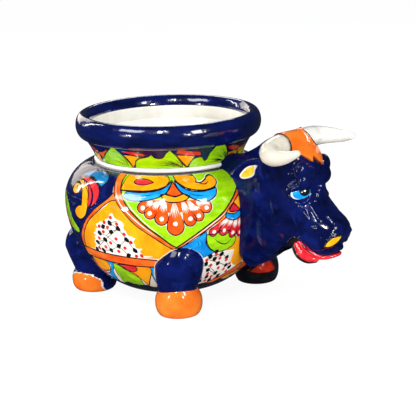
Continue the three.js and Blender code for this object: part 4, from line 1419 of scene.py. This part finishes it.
def eye(name, node_name, sink, left):
    back = in_picture(*eye_back, 0, left)
    front = in_picture(*eye_front, 0, left)
    middle = in_picture(*eye_middle, sink, left)
    long_way = (front - back).normalized()
    outward = flipped(rough_head.find_nearest(in_picture(*eye_facing))[1], left)
    outward = (outward - long_way * outward.dot(long_way)).normalized()
    upward = outward.cross(long_way)
    upward = upward if upward.z > 0 else -upward
    mesh = bmesh.new()
    bmesh.ops.create_uvsphere(mesh, u_segments=120, v_segments=90, radius=1)
    for face in mesh.faces:
        across, up = face.calc_center_median().xy
        face.material_index = 2 if within(pupil, across, up) else 1 if within(iris, across, up) else 0
        # Painted highlight: white faces in the pupil where a glint would shine.
        if within(painted_glint, across, up):
            face.material_index = 0
    for vert in mesh.verts:
        a, b, c = vert.co
        vert.co = middle + long_way * a * eye_long + upward * b * eye_tall + outward * c * eye_deep
    piece = finished(mesh, name, white, sky, ink)
    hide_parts(node_name)


eye("right_eye", "eye_right", 0.0028, False)
eye("left_eye", "eye_left", 0.0062, True)

# %% [markdown]
# ## Horns, ears and forelock
# The horns are tapered rolls that leave the poll sideways and turn forward. An orange cap of hair lies
# over their roots and falls down the forehead in pointed strands. It is cut out of a thin shell over the
# skull, as a potter cuts a slab. The ears are leaves of clay, dished in front.

# %% Horns
near_horn = [  # forward, out, up and radius, from the root to the tip
    (82, 10, 277, 18.0), (78, 30, 277, 18.0), (74, 49, 275, 18.2), (75, 67, 271, 17.4), (89, 79, 268, 14.2),
    (108, 78, 269, 10.0), (126, 71, 276, 5.2),
]
far_horn = [
    (82, 8, 278, 17.0), (80, 28, 278, 16.6), (79, 46, 277.2, 15.6), (84, 62, 276, 13.9), (96, 73, 275, 11.8),
    (113, 76.5, 275, 9.2), (131, 73, 277.5, 5.6),
]
# One cream glaze in two copies: darker and greyer on the near horn as painted shade, whiter on the far horn
# as painted light.
shaded_cream = glaze("near horn glaze in painted shade", "#bdb4a0", "#ebe6d8", (9, 16, 16), 0.9)
lit_cream = glaze("far horn glaze in painted light", "#f1ebde", "#fffdf6", (9, 9, 9))
for side, name, horn, cream in ((-1, "right", near_horn, shaded_cream), (1, "left", far_horn, lit_cream)):
    mesh = bmesh.new()
    places = [ahead(forward, side * out, height) for forward, out, height, radius in horn]
    radii = [radius / 1000 for forward, out, height, radius in horn]
    bar(mesh, places, radii, sides=48, steps_each=10)
    piece = finished(mesh, name + "_horn", cream)
    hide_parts("horn_" + name)

# %% Forelock
def grown_skull(grow):
    """Rings over the top of the skull, a little outside it."""
    found = []
    for face, nape, half in zip(faces[:24], napes, halves):
        reach = (face - nape) / 2
        reach = reach.normalized() * (reach.length + grow)
        found.append(oval((face + nape) / 2, reach, half + grow, forehead_power))
    return found


hair_thickness = 0.0042
sleeve = ((82, 2, 277), (80, 20, 277), (77, 36, 276.6), (75, 44, 276))  # round the root of each horn
sleeve_radii = [0.0196, 0.0200, 0.0202, 0.0202]
clay = bmesh.new()
hair_rings = grown_skull(hair_thickness)
skinned(clay, hair_rings, ahead(70, 0, 290 + hair_thickness * 1000), ahead(70, 0, 225))
for side in (-1, 1):
    places = [ahead(forward, side * out, height) for forward, out, height in sleeve]
    bar(clay, places, sleeve_radii, sides=48, round_ends=False)
cap = fused(clay, 0.0016, 6)
cap_skin = BVHTree.FromBMesh(cap)

strand_line = [  # across and up in millimetres, as seen from the front, the right-hand end first
    (-41, 270, 0), (-33, 266), (-25, 262.5), (-17, 256.5), (-8.8, 249.5, 0), (-6, 255), (-2.5, 258.5, 0),
    (5.5, 250), (14, 243.5), (24, 236.5, 0), (24, 246), (22.5, 257), (23, 268), (30, 276), (46, 284, 0),
]
strand_places = [Vector((point[0], 0, point[1])) / 1000 for point in strand_line]
edge_line = []
for i, (here, there) in enumerate(zip(strand_places, strand_places[1:])):
    leave = (there - here) / 3 if len(strand_line[i]) > 2 else (there - strand_places[i - 1]) / 6
    arrive = (there - here) / 3
    edge_line += geometry.interpolate_bezier(here, here + leave, there - arrive, there, 7)[:-1]
edge_line.append(strand_places[-1])

prism = bmesh.new()  # a block behind that outline, as wide as the hair and well over the poll
outline = [(place.x, place.z) for place in edge_line] + [(0.046, 0.31), (-0.041, 0.31)]
back, block_depth = head_front + 0.052, 0.09
sheet_face = prism.faces.new([prism.verts.new((back, across, height)) for across, height in outline])
bmesh.ops.triangulate(prism, faces=[sheet_face])
bmesh.ops.translate(prism, verts=extruded(prism), vec=(block_depth, 0, 0))
bmesh.ops.recalc_face_normals(prism, faces=prism.faces[:])
cutter, block = held(prism, "hair outline"), held(cap, "hair block")
cut = block.modifiers.new("cut", "BOOLEAN")
cut.operation, cut.solver, cut.object, cut.use_self = "INTERSECT", "EXACT", cutter, True
hair = taken(block, cutter)
# The far side ends along a line of the picture, so the cutting plane goes through the camera.
parting = [(303, 129), (308.3, 133.6), (311.8, 138.3), (314.7, 142.4), (317.6, 146.4)]
beyond_parting = (330, 130)
near_end, far_end = (in_picture(*place, 0, False, cap_skin) for place in (parting[0], parting[-1]))
across_line = (near_end - camera_place).cross(far_end - camera_place).normalized()
if across_line.dot(in_picture(*beyond_parting, 0, False, cap_skin) - camera_place) < 0:
    across_line.negate()
bmesh.ops.bisect_plane(
    hair, geom=everything(hair), plane_co=camera_place, plane_no=across_line, clear_outer=True
)
bmesh.ops.holes_fill(hair, edges=[edge for edge in hair.edges if edge.is_boundary], sides=0)
print("hair", len(hair.faces), "faces", sum(edge.is_boundary for edge in hair.edges), "open edges")
forelock = finished(relaxed(hair, 1), "hair", tangerine, keep_sharp=sharp_rim)
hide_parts("forelock")

# A black line along the parting is painted shade at the hair's far edge. Another, painted on the horn, goes
# round the near horn where it leaves the hair.
parting_shade_and_ring = bmesh.new()
bar(parting_shade_and_ring, [in_picture(*place, 0.0002, False, cap_skin) for place in parting], [0.0007] * 5, sides=8)
tilt = Vector((-0.12, -1, -0.05)).normalized()
across = tilt.orthogonal().normalized()
ring_middle, ring_radius = ahead(76.8, -40.6, 276.4), 0.0196
ring = []
for t in (math.tau * k / 60 for k in range(61)):
    ring.append(ring_middle + (across * math.cos(t) + tilt.cross(across) * math.sin(t)) * ring_radius)
bar(parting_shade_and_ring, ring, [0.0011] * len(ring), sides=8, steps_each=1, round_ends=False)
piece = finished(parting_shade_and_ring, "parting_shade_and_horn_ring", ink)

# %% Ears
ear_direction = Vector((-0.5, 0.84, -0.2)).normalized()
ear_up = ear_direction.cross(Vector((0.8, 0.45, 0.1))).normalized()
ear_front = ear_up.cross(ear_direction).normalized()
ear_span, ear_half, ear_thick, ear_dish = 0.056, 0.0150, 0.0062, 0.0042
ear_steps, ear_sides = 48, 64
ear_root = ahead(37, 34, 241)
for side, name in ((-1, "right"), (1, "left")):
    mesh = bmesh.new()
    rings = []
    for i in range(ear_steps):
        share = i / ear_steps
        leaf = math.sin(math.pi * (0.17 + share * 0.83)) ** 0.55
        middle = ear_root + ear_direction * ear_span * share
        ring = []
        for k in range(ear_sides):
            turn = math.tau * k / ear_sides
            across = math.cos(turn) * ear_half * leaf
            dish = ear_dish * max(0, 1 - (math.cos(turn) / 0.86) ** 2)
            dish *= math.sin(math.pi * min(1, share * 1.05))
            deep = math.sin(turn) * ear_thick * (1 - share * 0.5) - (dish if math.sin(turn) > 0 else 0)
            ring.append(flipped(middle + ear_up * across + ear_front * deep, side < 0))
        rings.append(ring)
    tip = ear_root + ear_direction * ear_span
    skinned(mesh, rings, flipped(ear_root, side < 0), flipped(tip, side < 0))
    piece = finished(mesh, name + "_ear", navy)
    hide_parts("ear_" + name)

# %% [markdown]
# ## Mouth
# The lower jaw is a slab of clay under the muzzle, edged with a thin red lip. The tongue lolls out of the
# right-hand corner of the mouth in two lobes, over a black bar of painted shade and with a dark red groove of
# painted shade between them. The paint in the ears and the nostrils, and the painted shade in the mouth's
# corners, is cast onto the clay from the picture.

# %% Jaw, lip and tongue
jaw_places = [  # forward, up and half width
    (86, 118, 19), (100, 114.5, 22), (112, 112.5, 22.5), (126, 110.8, 20.5), (138, 109.6, 16),
    (147, 109.6, 10.5),
]
jaw_turns = [math.tau * k / 48 for k in range(48)]
rings = []
for place in curve_in_space(jaw_places, 6):
    tall = 8.4 - (place.x - 86) * 0.032
    rings.append([ahead(place.x, place.z * math.sin(t), place.y + tall * math.cos(t)) for t in jaw_turns])
clay = bmesh.new()
skinned(clay, rings, ahead(80, 0, 119), ahead(152, 0, 109.8))
jaw = finished(fused(clay, 0.0012, 4), "jaw", navy)
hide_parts("lower_jaw")

red_clay = bmesh.new()
lip_edge = [
    (108, -25.5, 107.5), (120, -24.5, 105.4), (132, -20.5, 104.2), (143, -14, 105), (151, -5, 107.2),
    (152, 3, 108), (148, 10, 107.5), (138, 18, 106), (124, 23, 106),
]
lip_radii = [radius / 1000 for radius in (2.4, 2.9, 3.1, 3.0, 2.6, 2.5, 2.5, 2.4, 1.6)]
bar(red_clay, [ahead(*place) for place in lip_edge], lip_radii, sides=20)
red_lip = finished(red_clay, "red_lip", crimson)

clay = bmesh.new()
lower_lobe = [(95, -30, 127), (100, -33.5, 119), (108, -35, 110), (118, -31, 103.6), (128, -25, 101.8)]
upper_lobe = [(98, -30, 131), (105, -33, 125.5), (114, -33, 117.5), (124, -28.5, 110.5), (133, -22, 105.5)]
bar(clay, [ahead(*place) for place in lower_lobe], [0.0042, 0.0056, 0.0060, 0.0058, 0.0040], sides=28)
bar(clay, [ahead(*place) for place in upper_lobe], [0.0036, 0.0046, 0.0050, 0.0048, 0.0034], sides=28)
tongue = finished(fused(clay, 0.0008, 1), "tongue_flesh", crimson)
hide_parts("tongue")

tongue_skin = skin_of(tongue)
# The groove between the lobes gets a dark red bar: painted shade in the crease.
groove = [(301.4, 241.2), (303.2, 245), (306.4, 249), (311, 252.8), (316.5, 256)]
groove_places = [in_picture(*place, 0.0009, False, tongue_skin) for place in groove]
mesh = bmesh.new()
bar(mesh, groove_places, [0.0011, 0.0019, 0.0021, 0.0015, 0.0007], sides=16)
finished(mesh, "tongue_groove_shade", groove_shade_red)
# Painted shade under the tongue: a black bar where the jaw lies in its shadow.
mesh = bmesh.new()  # the dark edge of the jaw under the tongue
shade_under_tongue = [(90, -26, 124), (94, -30.5, 115.5), (102.5, -32.5, 106), (114, -29, 99.6), (125, -23, 99)]
bar(mesh, [ahead(*place) for place in shade_under_tongue], [0.0046, 0.0056, 0.0058, 0.0052, 0.0036], sides=24)
finished(mesh, "shade_under_tongue", ink)

# %% Nostril paint
def decal(name, points, material, lift, skin, mirrored=(False, True), behind=0.0):
    """A thin patch of glaze on the clay, outlined by points of the picture, on both sides. The left one may
    lie a little behind the mirrored place."""

    def laid(spot, sink, left):
        return flipped(in_picture(spot.x, spot.y, sink, False, skin), left)

    # The rows of the patch run from under its edge up and in: share of the way out, and how deep.
    rows = ((0.92, 0.0012), (1.0, -lift * 0.2), (0.8, -lift), (0.55, -lift), (0.3, -lift))
    mesh = bmesh.new()
    for left in mirrored:
        shift = behind if left else 0
        flat = curve_through([((p[0] - shift) / millimetres_per_degree, *p[1:]) for p in points], spacing=0.5)
        centre = sum(flat, Vector()) / len(flat)
        rings = [[laid(centre.lerp(place, share), sink, left) for place in flat] for share, sink in rows]
        skinned(mesh, rings, laid(centre, 0.0015, left), laid(centre, -lift, left))
    piece = finished(mesh, name, material)


head_skin, ear_skin = skin_of(head), skin_of(bpy.data.objects["right_ear"])
almond = [
    (324.4, 246.9), (326.6, 243.2), (331.4, 239.2), (336.4, 236.9), (341, 235.8), (339.9, 239.4),
    (335.2, 244), (329.6, 246.9),
]
rim = [
    (323.2, 247.8), (326, 242.4), (331, 238.2), (336.2, 235.8), (341.8, 234.6), (341, 239.8), (335.9, 245),
    (329.8, 248),
]
inner_ear = [
    (240.2, 175.6), (244, 170.5), (249, 167), (254.4, 165.9), (254.2, 171), (253.2, 174.4), (249.5, 176.9),
    (243.4, 177.9),
]
ear_edge = [
    (239.6, 175.6), (243.4, 169.9), (248.6, 166.2), (257.2, 165.4), (255.3, 170), (254.1, 175),
    (249.8, 177.8), (242.8, 178.8),
]
decal("inner_ear_edge", ear_edge, white, 0.0004, ear_skin)
decal("inner_ears", inner_ear, yellow, 0.0007, ear_skin)
# The mouth's corners get black glaze: painted shade in their hollows.
corner = [
    (286.8, 243), (289.6, 238.8), (294.6, 236.6), (298.6, 238.8), (299, 243.4), (295.5, 246.6), (291, 245.6),
]
decal("mouth_corner_shade", corner, ink, 0.0003, head_skin)
decal("nostril_line", rim, ink, 0.0004, head_skin, behind=3.5)
decal("nostrils", almond, yellow, 0.0007, head_skin, behind=3.5)

# %% [markdown]
# ## Legs and hooves
# Four stub legs with full round tops lean against the belly. The hooves bulge out under them. Each is a skin
# over level rings, pushed in and out as thumbs do, and then pressed onto the pot. The front ones are a
# little askew, as in the picture.

# %% Legs
def outwards(angle):
    return Vector((math.cos(math.radians(angle)), math.sin(math.radians(angle)), 0))


def standing(mesh, sections, angle, low, high, sides=64):
    """A skin over level rings: height, distance out from the pot's axis, and radius, in millimetres."""
    out = outwards(angle)
    aside = Vector((-out.y, out.x, 0))
    angles = [math.tau * k / sides for k in range(sides)]
    rings = []
    for height, reach, radius in sections:
        centre = Vector((pot_axis, 0, height / 1000)) + out * reach / 1000
        rings.append([centre + (out * math.cos(t) + aside * math.sin(t)) * radius / 1000 for t in angles])
    first = Vector((pot_axis, 0, low / 1000)) + out * sections[0][1] / 1000
    last = Vector((pot_axis, 0, high / 1000)) + out * sections[-1][1] / 1000
    skinned(mesh, rings, first, last)
    return first


def uneven_by_hand(mesh):
    """Pushes the clay in and out a little, as thumbs do."""
    mesh.normal_update()
    for vert in mesh.verts:
        vert.co += vert.normal * thumb_depth * noise.noise(vert.co * 18.0)


def leg_profile(bottom, top, reach, lean):
    """Height, distance out and radius of a leg, from a slight waist up to its round top."""
    shoulder = top - leg_radius
    found = []
    for t in (i / 12 for i in range(13)):
        waist = 1 - 0.09 * (1 - t) ** 1.5
        found.append((bottom + (shoulder - bottom) * t, reach + lean * t, leg_radius * waist))
    for turn in (i / 24 * math.pi / 2 for i in range(1, 24)):
        up, round_top = leg_radius * math.sin(turn), leg_radius * math.cos(turn) ** 0.75
        found.append((shoulder + up, reach + lean, round_top))
    return found


def hoof_profile(tall, reach):
    sole = [(0, 27, 0), (0.4, 29.5, 0), (2.2, 32.5, 0)]
    bulge = ((0.2, 35.9), (0.42, 37.4), (0.66, 37.0), (0.86, 34.4), (0.98, 31), (1, 26))
    path = curve_in_space(sole + [(tall * share, radius, 0) for share, radius in bulge], 5)
    return [(place.x, reach, place.y) for place in path]


def askew(mesh, angle, tall):
    """Leans a front leg and its hoof, and bends the line between them as the hoof's glaze was brushed."""
    centre = Vector((pot_axis, 0, 0)) + outwards(angle) * leg_reach / 1000
    forward = flipped(camera_right, angle > 0)
    for vert in mesh.verts:
        height = vert.co.z * 1000
        across = (vert.co - centre).dot(forward) * 1000 / leg_radius
        near_line = min(1, height / tall) ** 3 * max(0, 1 - max(0, height - tall) / 40) ** 1.5
        vert.co += forward * leaning(height, across) / 1000 * min(1, height / tall) ** 3
        vert.co.z += (2 + 2.25 * across - 7.25 * across**2) / 1000 * near_line


camera_right = Vector((0.7906, 0.6123, 0))
thumb_depth, hoof_dent, hoof_radius = 0.0016, 0.0011, 0.0375
leg_kinds = [  # angle from straight ahead, distance out, height of the hoof and of the leg, and lean outwards
    ("front", leg_angle, leg_reach, 46.5, leg_top, 0),
    ("rear", 145, 133.5, 36, 111, 12),
]
legs = [(side, *kind) for kind in leg_kinds for side in ("right", "left")]
for side_name, which, angle, reach, tall, top, lean in legs:
    angle = angle if side_name == "left" else -angle
    mesh = bmesh.new()
    standing(mesh, leg_profile(tall - 3, top, reach, lean), angle, tall - 3, top)
    uneven_by_hand(mesh)
    if which == "front":
        askew(mesh, angle, tall)
    pressed_on_pot(mesh)
    piece = finished(mesh, f"{which}_{side_name}_leg", navy)
    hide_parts(f"{which}_leg_{side_name}")
    mesh = bmesh.new()
    centre = standing(mesh, hoof_profile(tall, reach), angle, 0, tall)
    bmesh.ops.subdivide_edges(mesh, edges=mesh.edges[:], cuts=1, use_grid_fill=True)
    for vert in mesh.verts:
        if vert.co.z > 0.002:
            push = (vert.co - Vector((centre.x, centre.y, vert.co.z))).normalized()
            vert.co += push * hoof_dent * noise.noise(vert.co * 22)
    if which == "front":
        askew(mesh, angle, tall)
    pressed_on_pot(mesh)
    # The far front hoof is dark. A rear one is orange behind a white line and dark ahead of it.
    for face in mesh.faces:
        place = face.calc_center_median()
        if which == "rear":
            across = (place - centre).dot(flipped(camera_right, side_name == "left")) / hoof_radius
            share = place.z * 1000 / tall
            wave = 0.03 * math.sin(share * 14 + across * 9)
            above = share - 0.97 + 0.5 * abs(across + 0.45) ** 1.3
            beyond = max(across - 0.1 - 0.38 * (1 - share) ** 0.7 + wave, (above + wave) * 1.4)
            face.material_index = 0 if beyond < 0 else 2 if beyond < 0.06 else 1
        elif side_name == "left":
            face.material_index = 1
    piece = finished(mesh, f"{which}_{side_name}_hoof", tangerine, navy if which == "rear" else ink, white)
    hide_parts(f"{which}_hoof_{side_name}")

    if which == "front" and side_name == "left":
        far_hoof = skin_of(piece)

# The orange top of the far front hoof lies in the shadow of the head, so it is laid in a darker red: painted
# shade.
wedge = [
    (249.5, 271.9, 0), (257, 266), (264.5, 261.4), (270, 260.4), (275.4, 268.5, 0), (270, 271.6), (260, 273),
]
decal("hoof_wedge", wedge, shaded_hoof_orange, 0.0005, far_hoof, mirrored=(False,))

# %% [markdown]
# ## Tail
# The tail isn't in the picture, so it is a guess: a coil laid on the pot, with a thicker tuft at its end. It
# is one roll that follows the belly, fused and smoothed like the rest of the clay.

# %% Tail
tail_top, tail_length, tail_bend = 0.196, 0.108, 0.016
tail_clay = bmesh.new()
tail_places = []
for t in (i / 6 for i in range(7)):
    height = tail_top - tail_length * t
    behind_pot = pot_axis - belly_radius_at(height) - 0.0008
    tail_places.append(Vector((behind_pot, tail_bend * math.sin(math.pi * t), height)))
bar(tail_clay, tail_places, [0.0068, 0.0068, 0.0066, 0.0066, 0.0105, 0.0098, 0.0042], sides=32)
tail = finished(fused(tail_clay, 0.0011, 3), "tail_coil", navy)
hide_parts("tail")
